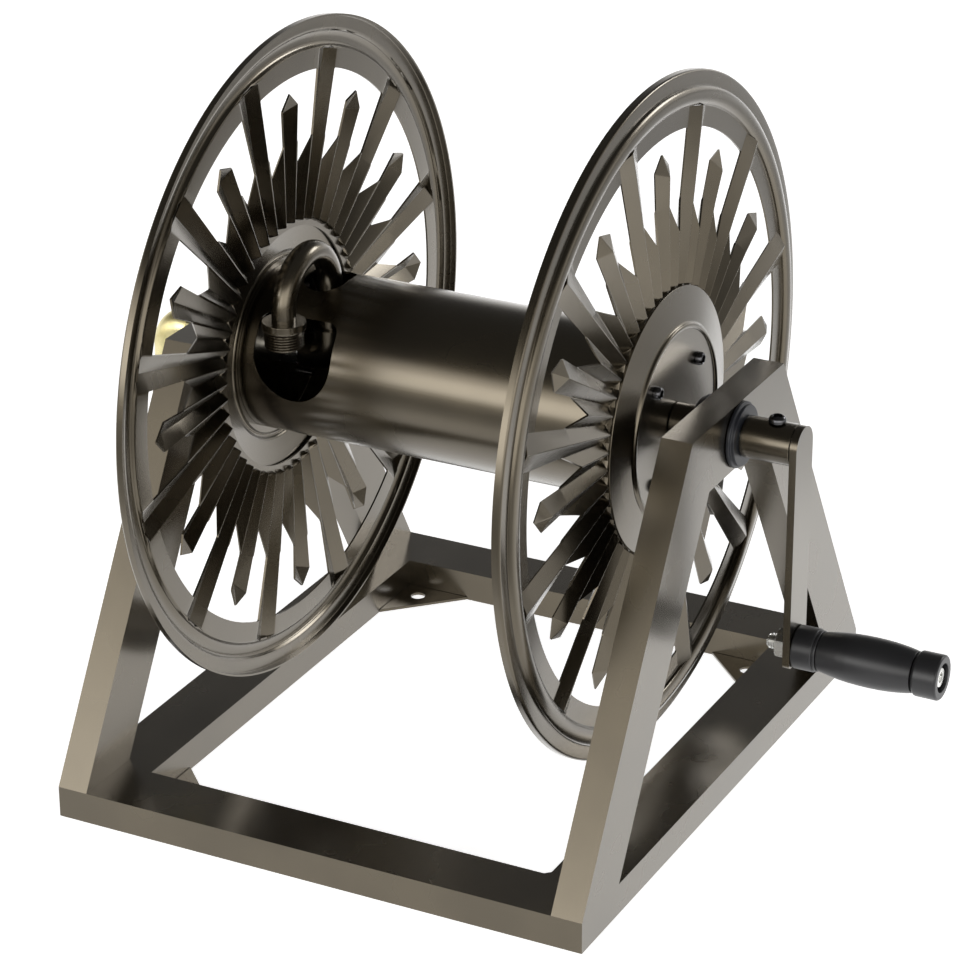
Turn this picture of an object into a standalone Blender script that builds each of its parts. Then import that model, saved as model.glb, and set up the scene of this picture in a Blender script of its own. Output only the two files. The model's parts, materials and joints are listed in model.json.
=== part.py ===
"""Garden hose reel on a stationary tube stand, as separate pieces.

Metres, +Z up.  +X runs along the axle towards the crank, -Y is the front, where the hose
leaves.  The origin is the centre of the object's box, on the ground.
"""

import math

import bmesh
import bpy
from mathutils import Matrix, Vector

MM = 0.001
GAP = 0.3 * MM                      # air kept between two pieces that touch
SHEET = 1.5 * MM                    # pressed steel sheet

# Stand: rectangular tube, flat for the base rails and on edge for the legs
STAND_WIDTH = 444.5 * MM
STAND_DEPTH = 525.0 * MM
STAND_HEIGHT = 330.2 * MM
RAIL_WIDTH = 51.5 * MM
RAIL_HEIGHT = 25.2 * MM
LEG_THICKNESS = 25.0 * MM
LEG_WIDTH = 53.5 * MM
TOP_BAR_HEIGHT = 51.2 * MM
TOP_BAR_HALF_LENGTH = 84.3 * MM
TUBE_WALL = 1.8 * MM
GUSSET_LEG = 55.6 * MM
GUSSET_SHEET = 2.5 * MM
GUSSET_HOLE_INSET = 16.5 * MM
GUSSET_HOLE_RADIUS = 6.0 * MM

# Reel: radii, and distances from the reel's middle plane outwards along the axle
AXLE_HEIGHT = 304.7 * MM
FLANGE_RADIUS = 262.7 * MM
DRUM_RADIUS = 65.6 * MM
DRUM_WALL = 1.6 * MM
AXLE_RADIUS = 12.7 * MM
AXLE_CLEARANCE = 0.3 * MM
AXLE_BORE = 8.5 * MM
SLEEVE_RADIUS = 16.0 * MM
HUB_PLATE_OUT = 171.1 * MM
HUB_PLATE_RADIUS = 71.2 * MM
HUB_SCREW_CIRCLE = 53.3 * MM
BUSHING_RADIUS = 25.4 * MM
BUSHING_BARREL = 17.0 * MM
GOOSENECK_X = -123.1 * MM
PIPE_RADIUS = 9.5 * MM
OUTLET_Y = -72.9 * MM

# Crank and handle, distances from the reel's middle plane along the axle
SLEEVE_START = 229.1 * MM
SLEEVE_END = 268.6 * MM
ARM_INNER = 269.4 * MM
ARM_OUTER = 275.1 * MM
ARM_HALF_WIDTH = 15.9 * MM
CRANK_RADIUS = 164.0 * MM
ARM_TAIL = 13.5 * MM
HANDLE_END = 391.5 * MM
STUD_RADIUS = 6.0 * MM

# Supply inlet outside the left frame
INLET_X = -268.7 * MM
INLET_RADIUS = 15.8 * MM
INLET_BOTTOM = -86.0 * MM

# The middle of the stand lies left of the origin, because the handle reaches further out
STAND_X = -(HANDLE_END + INLET_X - INLET_RADIUS) / 2
AXIS_POINT = Vector((STAND_X, 0, AXLE_HEIGHT))
ALONG_X = Matrix.Rotation(math.radians(90), 4, "Y")     # a turned piece's own Z goes to +X
MIRROR_X = Matrix.Rotation(math.radians(-90), 4, "Y")   # and here to -X
UPRIGHT_YZ = Matrix(((0, 0, 1, 0), (1, 0, 0, 0), (0, 1, 0, 0), (0, 0, 0, 1)))

# Sides of the pressed flange, as radii and distances out from the middle plane
PLEATS = 48
RAYS = 12
RAY_HALF_ANGLE = 3.6
RIDGE_FOOT = (104.2 * MM, 164.9 * MM)
VALLEY_FOOT = (101.8 * MM, 158.0 * MM)
RIDGE_TUCK = (103.5 * MM, 163.1 * MM)   # where the sheet turns in under the hub cone
VALLEY_TUCK = (101.2 * MM, 163.1 * MM)
TUCK_END = (96.0 * MM, 163.1 * MM)
NOTCH_TOP = (144.5 * MM, 163.1 * MM)
NOTCH_SIDE = (168.0 * MM, 156.7 * MM)
MEDIUM_RIDGE = (192.2 * MM, 163.0 * MM)
MEDIUM_SIDE = (197.4 * MM, 156.2 * MM)
MEDIUM_TIP = (208.5 * MM, 156.2 * MM)
LONG_RIDGE = (236.9 * MM, 161.1 * MM)
RIM_FACE = 156.4 * MM
ANNULUS_IN = 220.3 * MM
BEAD_IN = 236.0 * MM
BEAD_OUT = 250.9 * MM
BEAD_HEIGHT = 4.7 * MM
LIP_DEPTH = 6.4 * MM


def clear_scene():
    for item in list(bpy.data.objects):
        bpy.data.objects.remove(item, do_unlink=True)
    for holder in list(bpy.data.collections):
        bpy.data.collections.remove(holder)


def new_collection(name):
    holder = bpy.data.collections.new(name)
    bpy.context.scene.collection.children.link(holder)
    return holder


clear_scene()
PARTS = new_collection("garden_hose_reel")
CUTTERS = new_collection("cutters")


def finish_material(name, colour, metallic, roughness):
    material = bpy.data.materials.new(name)
    material.use_nodes = True
    shader = material.node_tree.nodes["Principled BSDF"]
    shader.inputs["Base Color"].default_value = (*colour, 1)
    shader.inputs["Metallic"].default_value = metallic
    shader.inputs["Roughness"].default_value = roughness
    material.diffuse_color = (*colour, 1)
    return material


BRONZE = ((0.18, 0.16, 0.13), 0.75, 0.38)
BLUE_GREY = ((0.07, 0.08, 0.10), 0.0, 0.45)
BLACK_PLASTIC = ((0.02, 0.02, 0.022), 0.0, 0.40)
BLACK_SCREW = ((0.015, 0.015, 0.017), 0.6, 0.35)
ZINC = ((0.72, 0.72, 0.70), 1.0, 0.28)
BRASS = ((0.62, 0.55, 0.28), 1.0, 0.32)
RUBBER = ((0.02, 0.02, 0.02), 0.0, 0.70)


def axis_empty(name, place):
    empty = bpy.data.objects.new(name, None)
    empty.location = place
    PARTS.objects.link(empty)
    return empty


REEL_AXIS = axis_empty("reel_axis", AXIS_POINT)
GRIP_AXIS = axis_empty("grip_axis", (0, 0, -CRANK_RADIUS))
GRIP_AXIS.parent = REEL_AXIS
INLET_AXIS = axis_empty("inlet_axis", AXIS_POINT)


def place_piece(piece, name, matrix, parent, finish):
    """Name a finished piece, put it under its parent and give it its material."""
    piece.name = name
    piece.data.name = name
    piece.parent = parent
    piece.matrix_local = matrix
    piece.data.materials.clear()
    piece.data.materials.append(finish_material(name + "_finish", *finish))
    return piece


def shade_round(mesh):
    mesh.shade_smooth()
    mesh.set_sharp_from_angle(angle=math.radians(35))


def mesh_object(mesh, collection=None):
    piece = bpy.data.objects.new(mesh.name, mesh)
    (collection or PARTS).objects.link(piece)
    return piece


def evaluated_mesh(piece):
    """The mesh of an object with its modifiers applied and its doubles merged."""
    graph = bpy.context.evaluated_depsgraph_get()
    mesh = bpy.data.meshes.new_from_object(piece.evaluated_get(graph))
    work = bmesh.new()
    work.from_mesh(mesh)
    bmesh.ops.remove_doubles(work, verts=work.verts, dist=1e-6)
    work.to_mesh(mesh)
    work.free()
    return mesh


def curve_to_mesh_object(curve_object, collection=None):
    mesh = evaluated_mesh(curve_object)
    bpy.data.objects.remove(curve_object, do_unlink=True)
    return mesh_object(mesh, collection)


def flat_piece(outlines, thickness, collection=None):
    """A flat plate, its outlines filled and extruded by half the thickness to each side."""
    curve = bpy.data.curves.new("outline", "CURVE")
    curve.dimensions = "2D"
    curve.fill_mode = "BOTH"
    curve.extrude = thickness / 2
    for outline in outlines:
        spline = curve.splines.new("POLY")
        spline.points.add(len(outline) - 1)
        for point, (u, v) in zip(spline.points, outline):
            point.co = (u, v, 0, 1)
        spline.use_cyclic_u = True
    plate = bpy.data.objects.new("plate", curve)
    PARTS.objects.link(plate)
    return curve_to_mesh_object(plate, collection)


def arc(centre, radius, start, end, steps):
    """Points on an arc, angles in degrees."""
    turn = [math.radians(start + (end - start) * i / steps) for i in range(steps + 1)]
    return [(centre[0] + radius * math.cos(a), centre[1] + radius * math.sin(a)) for a in turn]


def turned_piece(profile, steps, closed=False, collection=None):
    """A profile of (radius, height) points, top to bottom on the outer side, turned about Z."""
    mesh = bpy.data.meshes.new("profile")
    points = [(radius, 0, height) for radius, height in profile]
    edges = [(i, i + 1) for i in range(len(points) - 1)]
    if closed:
        edges.append((len(points) - 1, 0))
    mesh.from_pydata(points, edges, [])
    piece = mesh_object(mesh)
    screw = piece.modifiers.new("turn", "SCREW")
    screw.steps = steps
    screw.render_steps = steps
    screw.use_merge_vertices = True
    screw.merge_threshold = 1e-5
    screw.use_smooth_shade = True
    turned = mesh_object(evaluated_mesh(piece), collection)
    bpy.data.objects.remove(piece, do_unlink=True)
    shade_round(turned.data)
    return turned


def solid_rod(radius, low, high, steps=24, collection=None):
    profile = [(0, high), (radius, high), (radius, low), (0, low)]
    return turned_piece(profile, steps, collection=collection)


def ring_piece(outer, inner, low, high, steps=24):
    """A plain tube or ring about Z."""
    profile = [(outer, high), (outer, low), (inner, low), (inner, high)]
    return turned_piece(profile, steps, closed=True)


def hex_nut(corner_radius, bore, low, high):
    """A hexagonal nut about Z with a round bore."""
    hexagon = arc((0, 0), corner_radius, 0, 300, 5)
    nut = flat_piece([hexagon, arc((0, 0), bore, 0, 345, 23)], high - low)
    nut.data.transform(Matrix.Translation((0, 0, (high + low) / 2)))
    return nut


def cut(piece, cutter):
    """Apply a Boolean with a cutter, then keep the cutter hidden in its own collection."""
    cutter.hide_render = True
    cutter.display_type = "WIRE"
    change = piece.modifiers.new("cut", "BOOLEAN")
    change.solver = "EXACT"
    change.object = cutter
    bpy.context.view_layer.update()
    mesh = evaluated_mesh(piece)
    piece.modifiers.clear()
    piece.data = mesh
    return piece


def hollow_bar(outline, core, thickness):
    """A length of rectangular tube: a flat outline's prism, with a longer core taken out."""
    bar = flat_piece([outline], thickness)
    core_piece = flat_piece([core], thickness - 2 * TUBE_WALL, CUTTERS)
    return cut(bar, core_piece)


def mirrored(points, flip_u, flip_v):
    return [(u * flip_u, v * flip_v) for u, v in points]


# ---------------------------------------------------------------- stand


def base_rails():
    """Four flat tubes with mitred corners."""
    half_x = STAND_WIDTH / 2
    half_y = STAND_DEPTH / 2
    inner_x = half_x - RAIL_WIDTH
    inner_y = half_y - RAIL_WIDTH
    wall = TUBE_WALL
    past = 3 * wall
    at_mid_height = Matrix.Translation((STAND_X, 0, RAIL_HEIGHT / 2))
    for name, side in (("base_front_rail", -1), ("base_rear_rail", 1)):
        outline = [(-half_x + GAP, half_y), (half_x - GAP, half_y), (inner_x - GAP, inner_y),
                   (-inner_x + GAP, inner_y)]
        core = [(-half_x - past, half_y - wall), (half_x + past, half_y - wall),
                (half_x + past, inner_y + wall), (-half_x - past, inner_y + wall)]
        rail = hollow_bar(mirrored(outline, 1, side), mirrored(core, 1, side), RAIL_HEIGHT)
        place_piece(rail, name, at_mid_height, None, BRONZE)
    for name, side in (("base_left_rail", -1), ("base_right_rail", 1)):
        outline = [(half_x, -half_y + GAP), (half_x, half_y - GAP), (inner_x, inner_y - GAP),
                   (inner_x, -inner_y + GAP)]
        core = [(half_x - wall, -half_y - past), (half_x - wall, half_y + past),
                (inner_x + wall, half_y + past), (inner_x + wall, -half_y - past)]
        rail = hollow_bar(mirrored(outline, side, 1), mirrored(core, side, 1), RAIL_HEIGHT)
        place_piece(rail, name, at_mid_height, None, BRONZE)


def leg_lines():
    """The leg's lean, and how far its inner edge lies from its outer edge along Y."""
    foot = Vector((STAND_DEPTH / 2, RAIL_HEIGHT))
    apex = Vector((TOP_BAR_HALF_LENGTH, STAND_HEIGHT))
    run = (apex - foot).normalized()
    return foot, apex, run, LEG_WIDTH / run.y


def side_frames():
    """A leaning leg in front and behind, and a top bar that carries the bushings."""
    foot, apex, run, across = leg_lines()
    underside = STAND_HEIGHT - TOP_BAR_HEIGHT
    slope = -run.x / run.y

    def outer_y(z):
        return foot.x - slope * (z - foot.y)

    wall = TUBE_WALL
    wall_y = wall / run.y
    inner_corner = outer_y(underside) - across
    low = RAIL_HEIGHT + GAP
    past = 4 * wall
    leg = [(outer_y(low), low), (apex.x + GAP, STAND_HEIGHT),
           (inner_corner + GAP, underside), (outer_y(low) - across, low)]
    core_low = low - past
    core_high = STAND_HEIGHT + past
    leg_core = [(outer_y(core_low) - wall_y, core_low), (outer_y(core_high) - wall_y, core_high),
                (outer_y(core_high) - across + wall_y, core_high),
                (outer_y(core_low) - across + wall_y, core_low)]
    bar = [(-apex.x, STAND_HEIGHT), (apex.x, STAND_HEIGHT), (inner_corner, underside),
           (-inner_corner, underside)]
    reach = apex.x + past
    bar_core = [(-reach, STAND_HEIGHT - wall), (reach, STAND_HEIGHT - wall),
                (reach, underside + wall), (-reach, underside + wall)]
    for side_name, side in (("left", -1), ("right", 1)):
        middle = STAND_X + side * (STAND_WIDTH - LEG_THICKNESS) / 2
        matrix = Matrix.Translation((middle, 0, 0)) @ UPRIGHT_YZ
        for end_name, end in (("front", -1), ("rear", 1)):
            tube = hollow_bar(mirrored(leg, end, 1), mirrored(leg_core, end, 1), LEG_THICKNESS)
            place_piece(tube, side_name + "_" + end_name + "_leg", matrix, None, BRONZE)
        tube = hollow_bar(bar, bar_core, LEG_THICKNESS)
        hole = solid_rod(BUSHING_BARREL + GAP, -LEG_THICKNESS, LEG_THICKNESS, collection=CUTTERS)
        hole.location = (0, AXLE_HEIGHT, 0)
        cut(tube, hole)
        place_piece(tube, side_name + "_top_bar", matrix, None, BRONZE)


def corner_gussets():
    """A drilled triangle in each inner corner of the base, level with the ground."""
    corner_x = STAND_WIDTH / 2 - RAIL_WIDTH - GAP
    corner_y = STAND_DEPTH / 2 - RAIL_WIDTH - GAP
    hole_centre = (corner_x - GUSSET_HOLE_INSET, corner_y - GUSSET_HOLE_INSET)
    triangle = [(corner_x, corner_y), (corner_x - GUSSET_LEG, corner_y),
                (corner_x, corner_y - GUSSET_LEG)]
    hole = arc(hole_centre, GUSSET_HOLE_RADIUS, 0, 337.5, 15)
    for end_name, end in (("front", -1), ("rear", 1)):
        for side_name, side in (("left", -1), ("right", 1)):
            plate = flat_piece([mirrored(triangle, side, end), mirrored(hole, side, end)],
                               GUSSET_SHEET)
            matrix = Matrix.Translation((STAND_X, 0, GUSSET_SHEET / 2))
            place_piece(plate, "gusset_" + end_name + "_" + side_name, matrix, None, BRONZE)


def bushings():
    """Each side has an outer and an inner flanged half, meeting inside the top bar."""
    face_out = STAND_WIDTH / 2 + GAP
    face_in = STAND_WIDTH / 2 - LEG_THICKNESS - GAP
    middle = (face_out + face_in) / 2
    bore = AXLE_RADIUS + AXLE_CLEARANCE
    rim = BUSHING_RADIUS
    step = 2.2 * MM
    outer = [(rim - step, face_out + 5.8 * MM), (rim - step, face_out + 2.2 * MM),
             (rim, face_out + 2.2 * MM), (rim, face_out), (BUSHING_BARREL, face_out),
             (BUSHING_BARREL, middle + GAP / 2), (bore, middle + GAP / 2),
             (bore, face_out + 5.8 * MM)]
    inner = [(BUSHING_BARREL, middle - GAP / 2), (BUSHING_BARREL, face_in), (rim, face_in),
             (rim, face_in - 2.2 * MM), (rim - step, face_in - 2.2 * MM),
             (rim - step, face_in - 5.8 * MM), (bore, face_in - 5.8 * MM),
             (bore, middle - GAP / 2)]
    for side_name, turn in (("left", MIRROR_X), ("right", ALONG_X)):
        matrix = Matrix.Translation(AXIS_POINT) @ turn
        for half_name, profile in (("outer", outer), ("inner", inner)):
            half = turned_piece(profile, 24, closed=True)
            place_piece(half, side_name + "_bushing_" + half_name, matrix, None, BLUE_GREY)


# ---------------------------------------------------------------- reel


def polar(radius, degrees, out):
    """A point on a flange, out being its distance from the reel's middle plane."""
    turn = math.radians(degrees)
    return Vector((out, radius * math.cos(turn), radius * math.sin(turn)))


def pleat_faces(centre):
    """The faces of one long ray, the next medium ray and the short pleats on their far sides."""
    quarter = 180 / PLEATS
    faces = []

    def ridge(degrees, point):
        return polar(point[0], degrees, point[1])

    for kind, middle in (("long", centre), ("medium", centre + 180 / RAYS)):
        for side in (-1, 1):
            valley = middle + side * quarter
            edge = middle + side * RAY_HALF_ANGLE
            foot = ridge(middle, RIDGE_FOOT)
            side_foot = ridge(valley, VALLEY_FOOT)
            notch = ridge(edge, NOTCH_SIDE)
            notch_ridge = ridge(middle, (NOTCH_SIDE[0], MEDIUM_RIDGE[1]))
            strips = [[foot, side_foot, notch, notch_ridge]]
            if kind == "medium":
                end_ridge = ridge(middle, MEDIUM_RIDGE)
                end_side = ridge(edge, MEDIUM_SIDE)
                strips.append([notch_ridge, notch, end_side, end_ridge])
                strips.append([end_ridge, end_side, ridge(middle, MEDIUM_TIP)])
            else:
                at_annulus = ridge(edge, (ANNULUS_IN, RIM_FACE))
                annulus_ridge = ridge(middle, (ANNULUS_IN, MEDIUM_RIDGE[1] - 1.2 * MM))
                strips.append([notch_ridge, notch, at_annulus, annulus_ridge])
                end_side = ridge(edge, (BEAD_IN, RIM_FACE))
                strips.append([annulus_ridge, at_annulus, end_side, ridge(middle, LONG_RIDGE)])
            short_middle = middle + side * 180 / RAYS / 2
            short_foot = ridge(short_middle, RIDGE_FOOT)
            strips.append([side_foot, short_foot, ridge(short_middle, NOTCH_TOP), notch])
            for ridge_turn, ridge_foot, flip in ((middle, foot, 1), (short_middle, short_foot, -1)):
                ridge_tuck = ridge(ridge_turn, RIDGE_TUCK)
                valley_tuck = ridge(valley, VALLEY_TUCK)
                strips += [[ridge_tuck, side_foot, ridge_foot][::flip],
                           [ridge_tuck, valley_tuck, side_foot][::flip],
                           [ridge(ridge_turn, TUCK_END), ridge(valley, TUCK_END), valley_tuck,
                            ridge_tuck][::flip]]
            for strip in strips:
                faces.append(strip if side > 0 else strip[::-1])
    end_sides = [ridge(centre + side * RAY_HALF_ANGLE, (BEAD_IN, RIM_FACE)) for side in (-1, 1)]
    faces.append([ridge(centre, LONG_RIDGE), end_sides[1], end_sides[0]])
    return faces


def rim_faces(centre):
    """One sector of the rim: flat annulus, rolled bead, flat land and turned-in lip."""
    rings = [(BEAD_IN, RIM_FACE)]
    for i in range(1, 3):
        turn = math.pi * i / 3
        middle = (BEAD_IN + BEAD_OUT) / 2
        half = (BEAD_OUT - BEAD_IN) / 2
        rings.append((middle - half * math.cos(turn), RIM_FACE + BEAD_HEIGHT * math.sin(turn)))
    rings += [(BEAD_OUT, RIM_FACE), (FLANGE_RADIUS, RIM_FACE),
              (FLANGE_RADIUS, RIM_FACE - LIP_DEPTH)]
    half_sector = 180 / RAYS
    stops = [-half_sector, -9.3, -RAY_HALF_ANGLE, RAY_HALF_ANGLE, 9.3, half_sector]
    faces = []
    for a, b in zip(stops, stops[1:]):
        for inner, outer in zip(rings, rings[1:]):
            faces.append([polar(inner[0], centre + a, inner[1]), polar(outer[0], centre + a, outer[1]),
                          polar(outer[0], centre + b, outer[1]), polar(inner[0], centre + b, inner[1])])
        if a < 0 < b:
            continue
        inner = (ANNULUS_IN, RIM_FACE)
        faces.append([polar(inner[0], centre + a, inner[1]), polar(BEAD_IN, centre + a, RIM_FACE),
                      polar(BEAD_IN, centre + b, RIM_FACE), polar(inner[0], centre + b, inner[1])])
    return faces


def pressed_flange():
    """One side of the reel, pressed from a single sheet: a sunburst of pleats in a rolled rim.

    The rule gives the outer surface one sector at a time, and Solidify gives the sheet its
    thickness towards the drum.
    """
    work = bmesh.new()
    for i in range(RAYS):
        centre = 180 / RAYS + i * 360 / RAYS
        for face in pleat_faces(centre) + rim_faces(centre):
            work.faces.new([work.verts.new(point) for point in face])
    bmesh.ops.remove_doubles(work, verts=work.verts, dist=1e-5)
    bmesh.ops.recalc_face_normals(work, faces=work.faces)
    outward = sum((face.normal.x * face.calc_area() for face in work.faces), 0.0)
    if outward < 0:
        bmesh.ops.reverse_faces(work, faces=work.faces)
    mesh = bpy.data.meshes.new("flange")
    work.to_mesh(mesh)
    work.free()
    flange = mesh_object(mesh)
    wall = flange.modifiers.new("sheet", "SOLIDIFY")
    wall.thickness = SHEET
    wall.offset = -1
    wall.use_even_offset = False
    return flange


def flanges():
    right = pressed_flange()
    mesh = evaluated_mesh(right)
    bpy.data.objects.remove(right, do_unlink=True)
    mirror = mesh.copy()
    mirror.transform(Matrix.Scale(-1, 4, (1, 0, 0)))
    mirror.flip_normals()
    place_piece(mesh_object(mesh), "right_flange", Matrix(), REEL_AXIS, BRONZE)
    place_piece(mesh_object(mirror), "left_flange", Matrix(), REEL_AXIS, BRONZE)


def hub_cones_and_plates():
    """Outside each flange a shallow cone with a raised ring, and in it the plate of the drum."""
    outside = [(71.4, 171.1), (72.4, 172.9), (74.6, 172.9), (75.8, 170.4), (103.1, 164.9)]
    profile = [(radius * MM, out * MM) for radius, out in outside]
    profile += [(radius * MM, out * MM - SHEET) for radius, out in reversed(outside)]
    plate = [(HUB_PLATE_RADIUS, HUB_PLATE_OUT), (HUB_PLATE_RADIUS, HUB_PLATE_OUT - SHEET),
             (AXLE_RADIUS + GAP, HUB_PLATE_OUT - SHEET), (AXLE_RADIUS + GAP, HUB_PLATE_OUT)]
    for side_name, turn in (("left", MIRROR_X), ("right", ALONG_X)):
        cone = turned_piece(profile, 36, closed=True)
        place_piece(cone, side_name + "_hub_cone", turn, REEL_AXIS, BRONZE)
        disc = turned_piece(plate, 36, closed=True)
        for i in range(4):
            turn_screw = math.radians(45 + 90 * i)
            hole = solid_rod(3.0 * MM, HUB_PLATE_OUT - 10 * MM, HUB_PLATE_OUT + 10 * MM, 12,
                             collection=CUTTERS)
            hole.location = (HUB_SCREW_CIRCLE * math.cos(turn_screw),
                             HUB_SCREW_CIRCLE * math.sin(turn_screw), 0)
            cut(disc, hole)
        shade_round(disc.data)
        place_piece(disc, side_name + "_hub_plate", turn, REEL_AXIS, BRONZE)


def hub_screws():
    """Four button-head screws through each plate into the drum's end."""
    seat = HUB_PLATE_OUT + GAP
    profile = [(0, 4.9), (2.8, 4.5), (4.6, 3.0), (5.2, 1.2), (5.2, 0), (2.5, 0), (2.5, -9), (0, -9)]
    for side_name, turn in (("left", MIRROR_X), ("right", ALONG_X)):
        for i in range(4):
            angle = math.radians(45 + 90 * i)
            screw = turned_piece([(r * MM, seat + z * MM) for r, z in profile], 12)
            spot = Matrix.Translation((HUB_SCREW_CIRCLE * math.cos(angle),
                                       HUB_SCREW_CIRCLE * math.sin(angle), 0))
            name = side_name + "_hub_screw_" + str(i + 1)
            place_piece(screw, name, turn @ spot, REEL_AXIS, BLACK_SCREW)


def drum():
    """The drum's shell, with one window for the gooseneck and one for the hose's end."""
    reach = HUB_PLATE_OUT - SHEET - GAP
    shell = ring_piece(DRUM_RADIUS, DRUM_RADIUS - DRUM_WALL, -reach, reach, 48)
    shell.data.transform(ALONG_X)
    half_width = 17.3 * MM
    half_length = 23.5 * MM
    straight = half_length - half_width
    slot = arc((0, straight), half_width, 0, 180, 8) + arc((0, -straight), half_width, 180, 360, 8)
    neck_window = flat_piece([slot], DRUM_RADIUS, CUTTERS)
    neck_window.location = (GOOSENECK_X, 0, DRUM_RADIUS)
    cut(shell, neck_window)
    radius = 33.6 * MM
    top = 31.8 * MM
    corner = 9.0 * MM
    tail = arc((0, 0), radius, 180, 360, 14)
    tail += arc((radius - corner, top - corner), corner, 0, 90, 4)
    tail += arc((corner - radius, top - corner), corner, 90, 180, 4)
    hose_window = flat_piece([tail], DRUM_RADIUS, CUTTERS)
    face_front = Matrix.Rotation(math.radians(90), 4, "X")
    tilt = Matrix.Rotation(math.radians(-17), 4, "X")
    spot = Matrix.Translation((GOOSENECK_X, 0, 0)) @ tilt
    hose_window.matrix_world = spot @ Matrix.Translation((0, -DRUM_RADIUS, 0)) @ face_front
    cut(shell, hose_window)
    shade_round(shell.data)
    place_piece(shell, "drum", Matrix(), REEL_AXIS, BRONZE)


def axles():
    """A water pipe on the left, a solid shaft on the right, each in a spacer sleeve."""
    pipe_end = GOOSENECK_X - 24.0 * MM
    pipe = ring_piece(AXLE_RADIUS, AXLE_BORE, -248.0 * MM, pipe_end, 24)
    place_piece(pipe, "left_axle_pipe", ALONG_X, REEL_AXIS, ZINC)
    shaft = solid_rod(AXLE_RADIUS, 120.0 * MM, SLEEVE_END - 2 * MM, 24)
    shaft_hole = solid_rod(3.4 * MM, 0, 30 * MM, 12, collection=CUTTERS)
    shaft_hole.matrix_world = Matrix.Translation((0, 0, 252.9 * MM)) @ MIRROR_X
    cut(shaft, shaft_hole)
    shade_round(shaft.data)
    place_piece(shaft, "right_axle_shaft", ALONG_X, REEL_AXIS, ZINC)
    boss_end = STAND_WIDTH / 2 - LEG_THICKNESS - 6.9 * MM
    for side_name, turn in (("left", MIRROR_X), ("right", ALONG_X)):
        boss = ring_piece(SLEEVE_RADIUS, AXLE_RADIUS + GAP, HUB_PLATE_OUT + GAP, boss_end, 24)
        place_piece(boss, side_name + "_axle_sleeve", turn, REEL_AXIS, BRONZE)


def bent_pipe(points, radius, wall, sides=3):
    """A hollow pipe along the points, open at both ends."""
    curve = bpy.data.curves.new("pipe", "CURVE")
    curve.dimensions = "3D"
    curve.bevel_depth = radius
    curve.bevel_resolution = sides
    curve.use_fill_caps = False
    spline = curve.splines.new("POLY")
    spline.points.add(len(points) - 1)
    for point, place in zip(spline.points, points):
        point.co = (*place, 1)
    line = bpy.data.objects.new("pipe", curve)
    PARTS.objects.link(line)
    pipe = curve_to_mesh_object(line)
    skin = pipe.modifiers.new("wall", "SOLIDIFY")
    skin.thickness = wall
    skin.offset = -1
    shade_round(pipe.data)
    return pipe


def water_way():
    """Elbow on the end of the water pipe, gooseneck over the drum, and threaded outlet."""
    elbow_radius = 14.0 * MM
    reach = 23.6 * MM
    bend = 15.0 * MM
    corner = [(GOOSENECK_X - bend + bend * math.sin(a), 0, bend - bend * math.cos(a))
              for a in [math.radians(15 * i) for i in range(7)]]
    route = [(GOOSENECK_X - reach, 0, 0)] + corner + [(GOOSENECK_X, 0, reach)]
    elbow = bent_pipe(route, elbow_radius, 4.5 * MM)
    place_piece(elbow, "drum_elbow", Matrix(), REEL_AXIS, BRONZE)

    arch = 36.45 * MM
    arch_z = 59.8 * MM
    collar_top = 54.3 * MM
    over = [(GOOSENECK_X, -arch + arch * math.cos(a), arch_z + arch * math.sin(a))
            for a in [math.radians(15 * i) for i in range(13)]]
    route = [(GOOSENECK_X, 0, reach + GAP)] + over + [(GOOSENECK_X, OUTLET_Y, collar_top + GAP)]
    neck = bent_pipe(route, PIPE_RADIUS, 1.5 * MM)
    place_piece(neck, "gooseneck_pipe", Matrix(), REEL_AXIS, BRONZE)

    spot = Matrix.Translation((GOOSENECK_X, OUTLET_Y, 0))
    collar = ring_piece(17.1 * MM, 8.2 * MM, collar_top - 6.6 * MM, collar_top, 24)
    place_piece(collar, "outlet_collar", spot, REEL_AXIS, BRONZE)
    top = collar_top - 6.6 * MM - GAP
    spout = ring_piece(15.3 * MM, 9.5 * MM, top - 14.0 * MM, top, 24)
    place_piece(spout, "threaded_outlet", spot, REEL_AXIS, BRONZE)


# ---------------------------------------------------------------- crank and handle


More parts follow.
